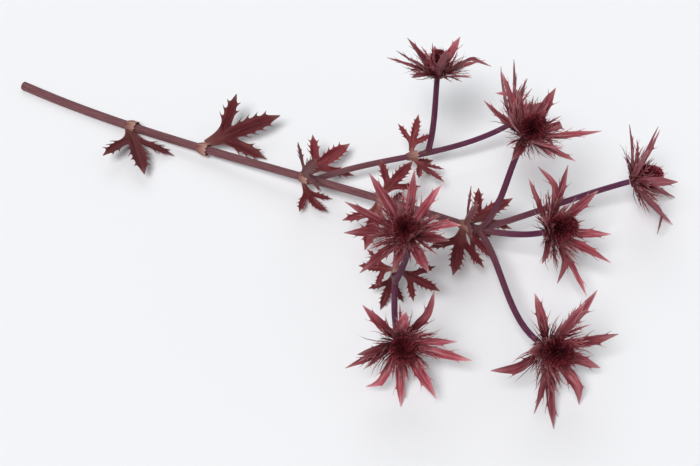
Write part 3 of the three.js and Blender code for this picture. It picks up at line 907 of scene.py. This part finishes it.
class SEAHOLLY_OT_leaves(bpy.types.Operator):
    """Grows the clasping sheath and the lobed, spiny leaves of every joint"""

    bl_idname = "sea_holly.leaves"
    bl_label = "Leaves"

    FOLD = 0.28  # how far a margin rises, as a share of its distance from the rib
    PALM = ((0, 2.3), (4.6, 2.9), (9, 4.4))  # how far along each row of the palm lies, and its half width
    PALM_COLUMNS = [(n / 6, abs(n / 6)) for n in range(-6, 7)]  # four strips for each lobe
    SPREAD = math.radians(50)
    MIDDLE_LENGTH, SIDE_LENGTH, SIDE_HALF_WIDTH = 33, 26, 2.9
    # How far along a lobe its rows lie. Every second strip below the tip carries spines.
    MIDDLE_PLACES = (0.214, 0.29, 0.35, 0.43, 0.49, 0.57, 0.63, 0.71, 0.77, 0.88, 0.95, 1.0)
    SIDE_PLACES = (0.27, 0.36, 0.44, 0.53, 0.61, 0.7, 0.78, 0.88, 0.95, 1.0)
    # The spines of a margin: the rows they leave, their size at the root, and what each row takes off it.
    MIDDLE_SPINES = ((1, 3, 5, 7), 1.15, 0.07)
    OUTER_SPINES = ((1, 3, 5), 1.0, 0.06)
    INNER_SPINES = ((3, 5), 0.9, 0.06)
    PALM_SHARE, PALM_HALF_WIDTH = 0.22, 3  # the palm's share of the pattern's length, and its half width

    SHEATH_SIDES, SHEATH_FOOT, SHEATH_RIM = 30, -4.2, 3.9  # its foot and rim are counted from the joint
    SHEATH_FADE = 9  # the height over which its colours change
    # The sheath's rings, from its foot up: how far on each lies, and how wide it is next to the last one.
    SHEATH_RINGS = ((1.6, 1.16), (1.8, 1.22), (1.8, 1.06), (1.6, 0.98), (1.4, 0.9))
    RIB_STEP, POINT_STEP = math.radians(24), math.radians(36)  # between a sheath's ribs, and its points

    def grow_leaf(self, settings):
        """A flat leaf: one palm that splits into a middle lobe and two side lobes."""
        palm = [Row(Vector((0, along)), 0, width) for along, width in self.PALM]
        neck, third = palm[-1].centre, palm[-1].width / 3
        middle = lobe_rows(neck, 0, self.MIDDLE_LENGTH, settings.half_width / MM, self.MIDDLE_PLACES)
        right, left = (
            lobe_rows(neck, spread, self.SIDE_LENGTH, self.SIDE_HALF_WIDTH, self.SIDE_PLACES)
            for spread in (self.SPREAD, -self.SPREAD)
        )
        piece = start_strip(palm[0], palm[1], self.PALM_COLUMNS, self.FOLD)
        with editing(piece):
            pick(level("z", palm[1].centre.y * MM))
            grow_rows(palm[1:])
            for hand, rows in ((-1, left), (0, middle), (1, right)):
                rim, centre = level("z", neck.y * MM), 2 * third * hand * MM
                pick(lambda co: rim(co) and abs(co.x - centre) < 1.01 * third * MM)
                self.part_from_palm(Vector((2 * third * hand, neck.y)), rows[0])
                grow_rows(rows)
            for hand, rows in ((-1, left), (1, right)):
                # The lobes part in a notch.
                pick(near(margin_place(middle[0], hand, self.FOLD), margin_place(rows[0], -hand, self.FOLD)))
                bpy.ops.mesh.merge(type="CENTER")
            size = settings.spine_length / MM
            for rows, hand, (leaving, first, loss) in (
                (middle, -1, self.MIDDLE_SPINES),
                (middle, 1, self.MIDDLE_SPINES),
                (left, -1, self.OUTER_SPINES),
                (right, 1, self.OUTER_SPINES),
                (left, 1, self.INNER_SPINES),
                (right, -1, self.INNER_SPINES),
            ):
                for n in leaving:
                    grow_spine(rows[n], rows[n + 1], hand, self.FOLD, size * (first - loss * n), 1.0)
        self.map_leaf(piece, neck, settings.half_width / MM)
        return piece

    def part_from_palm(self, start, row):
        """In edit mode, extrudes a third of the palm's rim on to the first row of a lobe.

        Every lobe folds along its own rib, so the corners of its first row go one by one to their places.
        """
        bpy.ops.mesh.extrude_region_move(TRANSFORM_OT_translate={"value": on_plan(*(row.centre - start))})
        mesh = bmesh.from_edit_mesh(bpy.context.object.data)
        corners = sorted((vertex.co.copy() for vertex in mesh.verts if vertex.select), key=lambda co: co.x)
        places = []
        for corner, across in zip(corners, (-1, -0.5, 0, 0.5, 1)):
            narrowed = row._replace(width=abs(across) * row.width)
            places.append(margin_place(narrowed, math.copysign(1, across), self.FOLD))
            pick(near(corner))
            bpy.ops.transform.translate(value=places[-1] - corner)
        pick(near(*places))

    def map_leaf(self, piece, neck, half_width):
        """Marks how far along and across its own lobe every point of the leaf lies."""
        lobes = (
            (0, self.MIDDLE_LENGTH, half_width),
            (self.SPREAD, self.SIDE_LENGTH, self.SIDE_HALF_WIDTH),
            (-self.SPREAD, self.SIDE_LENGTH, self.SIDE_HALF_WIDTH),
        )
        alongs, acrosses = [], []
        for vertex in piece.data.vertices:
            at = Vector((vertex.co.x, vertex.co.z)) / MM
            if at.y <= neck.y:
                alongs.append(self.PALM_SHARE * at.y / neck.y)
                acrosses.append(at.x / self.PALM_HALF_WIDTH)
                continue
            nearest = None
            for spread, length, half in lobes:
                t = (at - neck).dot(Vector((math.sin(spread), math.cos(spread)))) / length
                aside = (at - neck).dot(Vector((math.cos(spread), -math.sin(spread))))
                share = aside / (half * pattern_width(t))
                if nearest is None or abs(share) < abs(nearest[1]):
                    nearest = (mix(self.PALM_SHARE, 1, min(max(t, 0), 1)), share)
            alongs.append(nearest[0])
            acrosses.append(nearest[1])
        mark(piece, "along", alongs)
        mark(piece, "across", acrosses)

    def sheath(self, stalk, whorl):
        """The sheath that clasps a stalk: ribbed, swollen and torn into points round its rim."""
        centre, tangent = point_on(stalk, whorl.at), tangent_on(stalk, whorl.at)
        bore = mix(*stalk.radii, whorl.at) * MM
        piece = new_shape(
            bpy.ops.mesh.primitive_circle_add,
            vertices=self.SHEATH_SIDES, radius=bore, location=(0, 0, self.SHEATH_FOOT * MM),
        )
        with editing(piece):
            pick()
            for step, size in self.SHEATH_RINGS:
                bpy.ops.mesh.extrude_region_move(TRANSFORM_OT_translate={"value": (0, 0, step * MM)})
                bpy.ops.transform.resize(value=(size, size, 1))
            for every, size in ((self.RIB_STEP, 1.1), (self.POINT_STEP, 0.94)):
                pick(spaced(every))
                bpy.ops.transform.resize(value=(size, size, 1))
            # The rim is torn into points that stand up and out.
            below_point = spaced(self.POINT_STEP)
            pick(lambda co: co.z > self.SHEATH_RIM * MM and below_point(co))
            bpy.ops.transform.translate(value=(0, 0, 2.2 * MM))
            bpy.ops.transform.resize(value=(1.3, 1.3, 1))
        finish_with(piece, "SOLIDIFY", thickness=0.4 * MM, offset=-1.0)
        finish_with(piece, "SUBSURF", levels=1, render_levels=1)
        turns = [math.atan2(vertex.co.y, vertex.co.x) for vertex in piece.data.vertices]
        mark(piece, "side", [math.cos(turn) for turn in turns])
        mark(piece, "over", [math.sin(turn) for turn in turns])
        heights = [vertex.co.z / MM for vertex in piece.data.vertices]
        mark(piece, "run", [height / STREAK_LENGTH + len(whorl.leaves) for height in heights])
        mark(piece, "along", [0.5 + height / self.SHEATH_FADE for height in heights])
        mark(piece, "tone", 0.5)
        side = outward(tangent, 0)
        piece.matrix_world = facing(centre, side, tangent.cross(side), tangent)
        return piece

    def leaf(self, shape, stalk, whorl, order, seed):
        """One leaf of a whorl, turned up to the light where it grows sideways."""
        turn, lean, length, curl = whorl.leaves[order]
        centre, tangent = point_on(stalk, whorl.at), tangent_on(stalk, whorl.at)
        radial, angle = outward(tangent, math.radians(turn)), math.radians(lean)
        along = tangent * math.cos(angle) + radial * math.sin(angle)
        face = tangent * math.sin(angle) - radial * math.cos(angle)
        face += UP * LEAF_ROLL * abs(math.sin(math.radians(turn)))
        face = (face - along * face.dot(along)).normalized()
        # Its root stands in the sheath, about a millimetre outside the stalk's skin.
        root = centre + radial * (mix(*stalk.radii, whorl.at) * 1.05 + 0.9)
        twist = math.radians(vary(-8, 8, 700 + seed))
        scale = (length / LEAF_REFERENCE,) * 3
        place = (root, face.cross(along), face, along)
        return lay_blade(shape, place, scale, length, math.radians(curl), twist, fixed_draw(740 + seed))

    def execute(self, context):
        settings = context.scene.sea_holly_leaves
        shape = self.grow_leaf(settings)
        thicken(shape, settings.thickness, RIB * MM, smooth=1)
        # Dried leathery leaf: browner than the bracts, and tan where its sheath holds it.
        colours = {
            "along": [
                (0.0, linear("8e625a")),
                (0.15, linear("6a3634")),
                (0.4, settings.colour),
                (0.85, linear("6a2a30")),
                (1.0, linear("a0746e")),
            ],
            "vein": linear("7e4444"),
            "blotch": linear("3a1117"),
            "painted_sheen": linear("82484a"),
            "back": linear("744649"),
            "margin": linear("9c6c66"),
        }
        shape.data.materials.append(leathery_blade("dyed_leathery_leaf", colours, 5))
        # Dry, papery sheath, where the dye hardly takes.
        stops = [(0.0, linear("663c3b")), (0.5, linear("90625a")), (1.0, linear("ac8476"))]
        papery = fibrous_skin("papery_leaf_sheath", stops, linear("b89284"), linear("4e2628"), 0.6)
        stalks = [*peduncles(), MAIN]
        for n, whorl in enumerate(WHORLS):
            stalk = stalks[whorl.stalk]
            sheath = self.sheath(stalk, whorl)
            sheath.data.materials.append(papery)
            leaves = [self.leaf(shape, stalk, whorl, k, 10 * n + k) for k in range(len(whorl.leaves))]
            name = whorl.node.replace("leaf_whorl", "leaves").replace("stem_leaf", "lone_leaf")
            seat_piece(name, [sheath, *leaves], whorl.node)
            press_flat(bpy.context.object, CONTACT * MM)
        discard(shape)
        return {"FINISHED"}


class SEAHOLLY_OT_ruffs(bpy.types.Operator):
    """Grows the ruff of every head: its receptacle, large bracts, narrow bracts and needles"""

    bl_idname = "sea_holly.ruffs"
    bl_label = "Ruffs"

    # How far along a large bract its rows lie. The short strips between them carry its spines.
    PLACES = (
        0.0, 0.12, 0.22, 0.25, 0.34, 0.44, 0.468, 0.55, 0.63, 0.655, 0.76, 0.782, 0.86, 0.92, 0.965, 1.0,
    )
    # The large bracts' four shapes. Each spine: hand, the row it leaves, its size and how it leans.
    SPINES = (
        ((-1, 2, 1.0, 1.1), (1, 2, 0.9, 1.0), (-1, 5, 1.0, 1.3), (1, 8, 0.8, 1.5), (-1, 10, 0.5, 1.8)),
        ((-1, 2, 0.8, 1.2), (1, 2, 1.1, 0.9), (1, 5, 1.1, 1.2), (-1, 8, 0.9, 1.4), (1, 10, 0.5, 1.7)),
        ((1, 2, 1.0, 1.2), (-1, 5, 0.8, 1.4), (1, 5, 0.9, 1.2), (-1, 8, 0.9, 1.4), (1, 8, 0.6, 1.6)),
        ((-1, 2, 0.9, 1.0), (1, 2, 1.1, 1.1), (-1, 5, 1.0, 1.2), (1, 8, 0.8, 1.4)),
    )
    WAVES = ((0.18, 0.3), (0.38, 0.5), (0.6, 0.7), (0.74, 0.88))  # stretches of margin that wave
    WAVE_HEIGHT = 0.55  # how far a stretch lies above or below the margin at most
    # The fourth shape has a kinked tip: how far along it folds, how far back, and how many bracts have it.
    KINKED, KINK, KINK_TURN, KINKED_SHARE = 3, 0.6, math.radians(-52), 0.13

    NARROW_LENGTH, NARROW_HALF_WIDTH, NARROW_FOLD = 22, 0.75, 0.4
    NARROW_SECTION = ((-1.0, 1.0), (0.0, 0.0), (1.0, 1.0))
    NARROW_PLACES = (0.0, 0.16, 0.3, 0.34, 0.5, 0.538, 0.7, 0.735, 0.88, 1.0)
    NARROW_SPINES = ((2, 2.3), (4, 2.1), (6, 1.6))  # on both margins: the rows they leave, and their size

    NEEDLE_LENGTH, NEEDLE_RADIUS, NEEDLE_ROOT = 18, 0.28, 4
    # A needle's stretches above its straight root: how far on each goes, how far aside and how it narrows.
    NEEDLE_STEPS = ((5, 0.3, 0.85), (5, -0.2, 0.7), (4, -0.6, 0.1))
    CROOKS = (1, 4, -3)  # how crooked each shape of needle is
    CLEARANCE = 0.2  # how high above the surface a needle has to stay

    def large_bracts(self, settings):
        """The shapes of the large bracts, flat: three straight, and one with a kinked tip."""
        length, half_width = settings.bract_length / MM, settings.bract_half_width / MM
        fold = settings.fold / settings.bract_half_width
        shapes = []
        for n, shape_spines in enumerate(self.SPINES):
            spines = [
                Spine(hand, row, size * settings.spine_length / MM, lean)
                for hand, row, size, lean in shape_spines
            ]
            shape = grow_bract(length, half_width, fold, WHOLE_SECTION, self.PLACES, spines)
            with editing(shape):
                self.wave_margins(settings, n)
                if n == self.KINKED:
                    kink = self.KINK * settings.bract_length
                    pick(lambda co: co.z > kink)
                    bpy.ops.transform.rotate(
                        value=self.KINK_TURN, orient_axis="X", center_override=(0, 0, kink)
                    )
            thicken(shape, settings.thickness, RIB * MM, smooth=1)
            shapes.append(shape)
        return shapes

    def wave_margins(self, settings, shape):
        """In edit mode, lifts and lowers stretches of a bract's margins, each shape in its own way."""
        for k, (low, high) in enumerate(self.WAVES):
            inner = 0.6 * width_at((low + high) / 2) * settings.bract_half_width
            for hand in (-1, 1):
                pick(lambda co: low < co.z / settings.bract_length < high and co.x * hand > inner)
                lift = vary(-self.WAVE_HEIGHT, self.WAVE_HEIGHT, 811 + 20 * shape + 2 * k + hand)
                bpy.ops.transform.translate(value=(0, lift * MM, 0))

    def narrow_bract(self, settings):
        """The shape of the narrow bracts: a channelled blade with three spines a side."""
        spines = [Spine(hand, row, size, 1.4) for row, size in self.NARROW_SPINES for hand in (-1, 1)]
        shape = grow_bract(
            self.NARROW_LENGTH, self.NARROW_HALF_WIDTH, self.NARROW_FOLD,
            self.NARROW_SECTION, self.NARROW_PLACES, spines,
        )
        thicken(shape, thickness=0.3 * MM, rib=0.2 * MM)
        return shape

    def needle(self, crook):
        """A shape for the needles: a slim thorn, more or less crooked."""
        root = self.NEEDLE_ROOT * MM
        piece = new_shape(
            bpy.ops.mesh.primitive_cylinder_add,
            vertices=4, radius=self.NEEDLE_RADIUS * MM, depth=root, location=(0, 0, root / 2),
        )
        with editing(piece):
            pick(level("z", root))
            for step, aside, size in self.NEEDLE_STEPS:
                move = Vector((aside * crook, aside * 1.5, step)) * MM
                bpy.ops.mesh.extrude_region_move(TRANSFORM_OT_translate={"value": move})
                bpy.ops.transform.resize(value=(size, size, 1))
        mark(piece, "along", [vertex.co.z / (self.NEEDLE_LENGTH * MM) for vertex in piece.data.vertices])
        mark(piece, "across", 0.4)
        return piece

    def receptacle(self, head):
        """The cup that carries the ruff, flared from the stalk to the cone."""
        size = head.size * MM
        cup = new_shape(
            bpy.ops.mesh.primitive_cone_add,
            vertices=24, radius1=RECEPTACLE_BOTTOM * size, radius2=RECEPTACLE_TOP * size,
            depth=RECEPTACLE_HEIGHT * size,
        )
        with editing(cup):
            # Its foot is hollow where it sits on the peduncle.
            pick(level("z", -RECEPTACLE_HEIGHT * size / 2))
            bpy.ops.mesh.inset(thickness=1.6 * size, depth=-0.4 * size)
            pick()
            bpy.ops.mesh.bevel(offset=0.4 * size, segments=2)
        for name, value in (("along", 0.1), ("across", 0.5), ("under", 0.0), ("tone", 0.3)):
            mark(cup, name, value)
        axis = Vector(head.axis).normalized()
        side = outward(axis, math.radians(head.spin))
        middle = Vector(head.seat) + axis * RECEPTACLE_HEIGHT * head.size / 2
        cup.matrix_world = facing(middle, side, axis.cross(side), axis)
        return cup

    def large(self, shapes, settings, head, seed, order):
        """One large bract of a head. Odd and even ones stand in two rings."""
        turn = math.radians(head.spin + 360 / settings.bracts * order + vary(-4, 4, seed))
        ring_angle, down = BRACT_RINGS[order % 2]
        place = spoke(head, turn, math.radians(ring_angle + vary(-5, 5, seed + 31)), down)
        length_share = head.size * vary(0.88, 1.12, seed + 57)
        width_share = head.size * vary(0.88, 1.12, seed + 73)
        bend = math.radians(vary(-16, 18, seed + 19))
        twist = math.radians(vary(-15, 15, seed + 13))
        kinked = fixed_draw(seed + 67) < self.KINKED_SHARE
        shape = shapes[self.KINKED if kinked else order % self.KINKED]
        scale = (width_share, width_share, length_share)
        length = settings.bract_length / MM * length_share
        return lay_blade(shape, place, scale, length, bend, twist, fixed_draw(seed + 3))

    def narrow(self, shape, settings, head, seed, order):
        """One narrow bract, anywhere between the cone and the large bracts."""
        turn = math.radians(head.spin + 360 / settings.narrow_bracts * (order + 0.5 * fixed_draw(seed)))
        place = spoke(head, turn, math.radians(vary(38, 84, seed + 31)), vary(0.4, 3.4, seed + 7))
        share = head.size * vary(0.6, 1.3, seed + 57)
        bend = math.radians(vary(-30, 40, seed + 19))
        twist = math.radians(vary(-30, 30, seed + 13))
        length = self.NARROW_LENGTH * share
        return lay_blade(shape, place, (share,) * 3, length, bend, twist, fixed_draw(seed + 3))

    def thorn(self, shape, settings, head, seed, order):
        """One needle, or none where it would reach the surface."""
        turn = math.radians(head.spin + 360 / settings.needles * (order + fixed_draw(seed)))
        angle = math.radians(vary(44, 98, seed + 11))
        root, side, face, along = spoke(head, turn, angle, vary(0.6, 3.6, seed + 5))
        share = head.size * vary(0.6, 1.5, seed + 23)
        if root.z + along.z * self.NEEDLE_LENGTH * share < self.CLEARANCE:
            return []
        thorn = copy_of(shape, fixed_draw(seed + 3))
        spun = Matrix.Rotation(math.radians(360 * fixed_draw(seed + 41)), 4, "Z")
        thorn.matrix_world = facing(root, side, face, along) @ spun @ Matrix.Scale(share, 4)
        return [thorn]

    def execute(self, context):
        settings = context.scene.sea_holly_ruffs
        shapes = self.large_bracts(settings)
        narrow, needles = self.narrow_bract(settings), [self.needle(crook) for crook in self.CROOKS]
        # Dried leathery bract: brick red on its face, wine red at its root and silvery pink at its tip.
        broad_colours = {
            "along": [
                # The dark root is partly painted shade round the cone, and the palest tip partly a painted
                # highlight.
                (0.0, linear("3a060d")),
                (0.24, linear("5a0f19")),
                (0.5, linear("7e2d38")),
                (0.74, linear("97464f")),
                (0.9, linear("b6767c")),
                (0.97, linear("dab2b1")),
                (1.0, linear("e2c8c2")),
            ],
            "vein": linear("b8757b"),
            "blotch": linear("4a111b"),
            "painted_sheen": linear("b47a80"),
            "back": linear("8c565e"),
            "margin": linear("b28484"),
        }
        broad = leathery_blade("dyed_leathery_bract", broad_colours, 7)
        # Stiff, wiry narrow bract: redder and darker, partly from more dye and partly as painted shade round
        # the cone.
        wiry_colours = {
            "along": [
                (0.0, linear("34060d")),
                (0.35, linear("4c0e16")),
                (0.75, linear("843e46")),
                # The pale tip is partly a painted highlight.
                (1.0, linear("d4aeaa")),
            ],
            "vein": linear("943c46"),
            "blotch": linear("440d17"),
            "painted_sheen": linear("a0636a"),
            "back": linear("74303a"),
            "margin": linear("b07a7c"),
        }
        wiry = leathery_blade("dyed_wiry_bract", wiry_colours, 2)
        for shape in shapes:
            shape.data.materials.append(broad)
        for shape in (narrow, *needles):
            shape.data.materials.append(wiry)
        for n, head in enumerate(HEADS):
            cup = self.receptacle(head)
            cup.data.materials.append(wiry)
            parts = [cup]
            parts += [self.large(shapes, settings, head, 100 * n + k, k) for k in range(settings.bracts)]
            for k in range(settings.narrow_bracts):
                parts.append(self.narrow(narrow, settings, head, 2000 + 100 * n + k, k))
            for k in range(settings.needles):
                parts += self.thorn(needles[k % len(needles)], settings, head, 4000 + 200 * n + k, k)
            seat_piece(f"ruff_{n + 1}", parts, f"bract_ruff_{n + 1}")
        discard(narrow, *needles, *shapes)
        return {"FINISHED"}


class SEAHOLLY_OT_cones(bpy.types.Operator):
    """Packs every cone with pointed florets, wound up it in the golden angle"""

    bl_idname = "sea_holly.cones"
    bl_label = "Cones"

    SEPALS = 5
    SPINE_LENGTHS = (1.35, 1.6, 2.1)  # how long each shape's spine is, counted in florets
    CORE_DEPTH, CORE_DROP = 1.3, 1.2  # how far the core lies inside the cone at its side and at its top
    FIRST_RISE = math.radians(6)  # how far round the ovoid from the cone's foot its lowest floret stands
    CROWDING = 0.92  # below 1, florets stand closer together towards the top
    UPTURN, SINK = 0.35, 1.5  # how far florets lean up the cone, and how deep they stand in it
    TOP_SIZE = 0.84  # of the florets at the top, next to the lowest ones

    def floret(self, settings):
        """One floret: a dark cup with five sharp sepals round a pointed bud."""
        half, tall = settings.floret_width / 2, settings.floret_length
        rim = tall * 0.6
        cup = new_shape(
            bpy.ops.mesh.primitive_cone_add,
            vertices=2 * self.SEPALS, radius1=half * 0.5, radius2=half, depth=rim, location=(0, 0, rim / 2),
        )
        with editing(cup):
            # The mouth is a pit, and the bud rises from it to a point.
            pick(level("z", rim))
            bpy.ops.mesh.inset(thickness=half * 0.34)
            bpy.ops.transform.translate(value=(0, 0, -rim * 0.5))
            for step, size in ((0.4, 0.75), (0.38, 0.05)):
                bpy.ops.mesh.extrude_region_move(TRANSFORM_OT_translate={"value": (0, 0, tall * step)})
                bpy.ops.transform.resize(value=(size, size, 1), center_override=(0, 0, 0))
            # Every second corner of the rim stands up as a sepal.
            on_rim, at_sepal = level("z", rim), spaced(2 * math.pi / self.SEPALS)
            pick(lambda co: on_rim(co) and at_sepal(co))
            bpy.ops.transform.translate(value=(0, 0, tall * 0.4))
            bpy.ops.transform.resize(value=(0.72, 0.72, 1), center_override=(0, 0, 0))
        # The bud stays dark, and only the sepals' tips take the pale painted highlight.
        dark = [0.84 if math.hypot(v.co.x, v.co.y) < half * 0.6 else 1 for v in cup.data.vertices]
        mark(cup, "along", [v.co.z / tall * share for v, share in zip(cup.data.vertices, dark)])
        return cup

    def scale_spine(self, settings, florets_long):
        """The thin spine that stands out below a floret, so many times as long as the floret."""
        tall = settings.floret_length * florets_long
        spine = new_shape(
            bpy.ops.mesh.primitive_cone_add,
            vertices=3, radius1=0.34 * MM, radius2=0, depth=tall,
            location=(0, -settings.floret_width / 2, tall / 2),
        )
        with editing(spine):
            pick(level("z", tall))
            bpy.ops.transform.translate(value=(0, -0.6 * MM, 0))
        mark(spine, "along", [0.3 + 0.7 * vertex.co.z / tall for vertex in spine.data.vertices])
        return spine

    def core(self, head):
        """The ovoid that the florets stand on."""
        size = head.size * MM
        radius, dome = (CONE_RADIUS - self.CORE_DEPTH) * size, (CONE_DOME - self.CORE_DROP) * size
        piece = new_shape(bpy.ops.mesh.primitive_uv_sphere_add, segments=20, ring_count=14, radius=1)
        with editing(piece):
            # The ball is cut off at its foot, and its lower half gets the belly's share of the dome's height.
            pick()
            foot = (0, 0, math.sin(CONE_FOOT))
            bpy.ops.mesh.bisect(plane_co=foot, plane_no=(0, 0, 1), clear_inner=True, use_fill=True)
            pick(lambda co: co.z < 1e-4)
            bpy.ops.transform.resize(value=(1, 1, CONE_BELLY / CONE_DOME), center_override=(0, 0, 0))
            pick()
            bpy.ops.transform.resize(value=(radius, radius, dome), center_override=(0, 0, 0))
        mark(piece, "along", 0.0)
        mark(piece, "tone", 0.2)
        return piece

    def place_on_cone(self, head, foot, n, count):
        """Where a floret stands and how it points, with its size."""
        axis = Vector(head.axis).normalized()
        # Equal steps up the ovoid would pack the florets evenly.
        up = ((n + 0.5) / count) ** self.CROWDING
        level_up = mix(math.sin(CONE_FOOT + self.FIRST_RISE), 1.0, up)
        rise = math.asin(min(level_up, 1.0))
        radial = outward(axis, n * GOLDEN_ANGLE + math.radians(head.spin))
        height = (CONE_DOME if rise > 0 else CONE_BELLY) * math.sin(rise) - CONE_BELLY * math.sin(CONE_FOOT)
        out = (radial * math.cos(rise) + axis * (math.sin(rise) + self.UPTURN)).normalized()
        place = foot + (axis * height + radial * CONE_RADIUS * math.cos(rise) - out * self.SINK) * head.size
        up_cone = out.cross(axis.cross(radial).normalized())
        share = head.size * mix(1.0, self.TOP_SIZE, max(level_up, 0.0))
        return facing(place, up_cone.cross(out), up_cone, out), share

    def execute(self, context):
        settings = context.scene.sea_holly_cones
        packed = packed_florets()
        shapes = []
        for florets_long in self.SPINE_LENGTHS:
            shapes.append(self.floret(settings))
            only(shapes[-1], self.scale_spine(settings, florets_long))
            bpy.ops.object.join()
            shapes[-1].data.materials.append(packed)
        for index, head in enumerate(HEADS):
            axis = Vector(head.axis).normalized()
            foot = Vector(head.seat) + axis * (RECEPTACLE_HEIGHT * head.size + SEAT_GAP)
            core = self.core(head)
            core.data.materials.append(packed)
            side = outward(axis, 0)
            middle = foot - axis * CONE_BELLY * math.sin(CONE_FOOT) * head.size
            core.matrix_world = facing(middle, side, axis.cross(side), axis)
            parts = [core]
            for n in range(settings.florets):
                laid, share = self.place_on_cone(head, foot, n, settings.florets)
                shape = shapes[int(len(shapes) * fixed_draw(index * 300 + n + 5))]
                floret = copy_of(shape, fixed_draw(index * 700 + n + 9))
                share *= vary(0.9, 1.15, index * 500 + n)
                floret.matrix_world = laid @ Matrix.Scale(share, 4)
                parts.append(floret)
            seat_piece(f"cone_{index + 1}", parts, f"flower_cone_{index + 1}")
        discard(*shapes)
        return {"FINISHED"}


class SEAHOLLY_OT_stage(bpy.types.Operator):
    """Lays the pale floor, sets the soft studio lights and frames the stem from above its heads"""

    bl_idname = "sea_holly.stage"
    bl_label = "Stage"

    # Wide, far softboxes light the whole floor alike: where each shines from, how wide it is, how strong.
    SOFTBOXES = {
        "key_softbox": ((0.1, -1.1, 1.5), math.radians(24), 2.5),
        "back_softbox": ((-0.7, 1.1, 1.2), math.radians(48), 0.6),
        "fill_softbox": ((1.6, 0.3, 0.9), math.radians(60), 0.22),
    }
    SKY_COLOUR, SKY_STRENGTH = "f4f6fa", 0.24
    FLOOR_SIZE = 60  # in metres, so that its edge stays out of view
    HALF_SENSOR = 18  # in millimetres
    FILL = 0.94  # how much of the picture the stem spans
    ROUNDS = 8  # in which the camera finds its place

    def floor(self, settings):
        """Lays a level floor of matte paper under the stem."""
        floor = new_shape(bpy.ops.mesh.primitive_plane_add, size=self.FLOOR_SIZE)
        floor.name = "floor"
        # Matte paper: even and pale, with no gloss of its own.
        finish, tree = new_finish("matte_pale_paper")
        paper = add_node(
            tree,
            "ShaderNodeBsdfPrincipled",
            {"Base Color": settings.floor_colour, "Roughness": 0.9, "Specular IOR Level": 0.2},
        )
        add_node(tree, "ShaderNodeOutputMaterial", {"Surface": paper})
        floor.data.materials.append(finish)

    def softbox(self, name, place, width, strength):
        """Adds one light that shines from its place towards the stem, with shadows as soft as it is wide."""
        bpy.ops.object.light_add(type="SUN", location=place)
        lamp = bpy.context.object
        lamp.name = name
        lamp.data.angle = width
        lamp.data.energy = strength
        lamp.rotation_mode = "QUATERNION"
        lamp.rotation_quaternion = (-Vector(place)).to_track_quat("-Z", "Y")

    def camera(self, settings, width=700, height=466):
        """Moves the camera back until every solid of the frame is in view, with an even edge round them."""
        bpy.ops.object.camera_add()
        camera = bpy.context.object
        camera.name = "camera"
        bpy.context.scene.camera = camera
        camera.data.lens = settings.lens
        a, e = settings.azimuth, settings.elevation
        back = Vector((math.sin(a) * math.cos(e), -math.cos(a) * math.cos(e), math.sin(e)))
        camera.rotation_mode = "QUATERNION"
        camera.rotation_quaternion = (-back).to_track_quat("-Z", "Y")
        right = camera.rotation_quaternion @ Vector((1, 0, 0))
        up = camera.rotation_quaternion @ Vector((0, 1, 0))
        places = [vertex.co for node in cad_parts.values() for vertex in node.data.vertices]
        reach = self.HALF_SENSOR / settings.lens
        aim, far = (CAD_BOX[0] + CAD_BOX[1]) / 2, 1.0
        for _ in range(self.ROUNDS):
            seen = [((p - aim).dot(right), (p - aim).dot(up), far - (p - aim).dot(back)) for p in places]
            xs, ys = [x / depth for x, _, depth in seen], [y / depth for _, y, depth in seen]
            aim += (right * (max(xs) + min(xs)) + up * (max(ys) + min(ys))) / 2 * far
            across, tall = (max(xs) - min(xs)) / 2, (max(ys) - min(ys)) / 2
            far *= max(across, tall * width / height) / reach / self.FILL
        camera.location = aim + back * far
        camera.data.clip_start, camera.data.clip_end = 0.05, 50

    def execute(self, context):
        settings = context.scene.sea_holly_stage
        self.floor(settings)
        for name, (place, width, strength) in self.SOFTBOXES.items():
            self.softbox(name, place, width, strength)
        world = bpy.data.worlds.new("studio")
        world.use_nodes = True
        context.scene.world = world
        background = world.node_tree.nodes["Background"]
        background.inputs["Color"].default_value = linear(self.SKY_COLOUR)
        background.inputs["Strength"].default_value = self.SKY_STRENGTH
        context.scene.view_settings.view_transform = "Standard"
        self.camera(settings)
        return {"FINISHED"}


class SEAHOLLY_PT_panel(bpy.types.Panel):
    """The steps that build the stem, with the sizes and colours of each"""

    bl_idname = "SEAHOLLY_PT_panel"
    bl_label = "Sea holly stem"
    bl_space_type = "VIEW_3D"
    bl_region_type = "UI"
    bl_category = "Sea holly"

    def draw(self, context):
        for step, settings in STEPS:
            box = self.layout.box()
            box.operator(step.bl_idname)
            group = getattr(context.scene, settings)
            for name in group.bl_rna.properties.keys():
                if name not in ("rna_type", "name"):
                    box.prop(group, name)


STEPS = (
    (SEAHOLLY_OT_stalks, "sea_holly_stalks"),
    (SEAHOLLY_OT_leaves, "sea_holly_leaves"),
    (SEAHOLLY_OT_ruffs, "sea_holly_ruffs"),
    (SEAHOLLY_OT_cones, "sea_holly_cones"),
    (SEAHOLLY_OT_stage, "sea_holly_stage"),
)
SETTINGS = {
    "sea_holly_stalks": StalkSettings,
    "sea_holly_leaves": LeafSettings,
    "sea_holly_ruffs": RuffSettings,
    "sea_holly_cones": ConeSettings,
    "sea_holly_stage": StageSettings,
}


def register():
    for name, group in SETTINGS.items():
        bpy.utils.register_class(group)
        setattr(bpy.types.Scene, name, PointerProperty(type=group))
    for step, _ in STEPS:
        bpy.utils.register_class(step)
    bpy.utils.register_class(SEAHOLLY_PT_panel)


def unregister():
    bpy.utils.unregister_class(SEAHOLLY_PT_panel)
    for step, _ in reversed(STEPS):
        bpy.utils.unregister_class(step)
    for name, group in SETTINGS.items():
        delattr(bpy.types.Scene, name)
        bpy.utils.unregister_class(group)


def main():
    register()
    bpy.ops.sea_holly.stalks()
    bpy.ops.sea_holly.leaves()
    bpy.ops.sea_holly.ruffs()
    bpy.ops.sea_holly.cones()
    bpy.ops.sea_holly.stage()


if __name__ == "__main__":
    main()
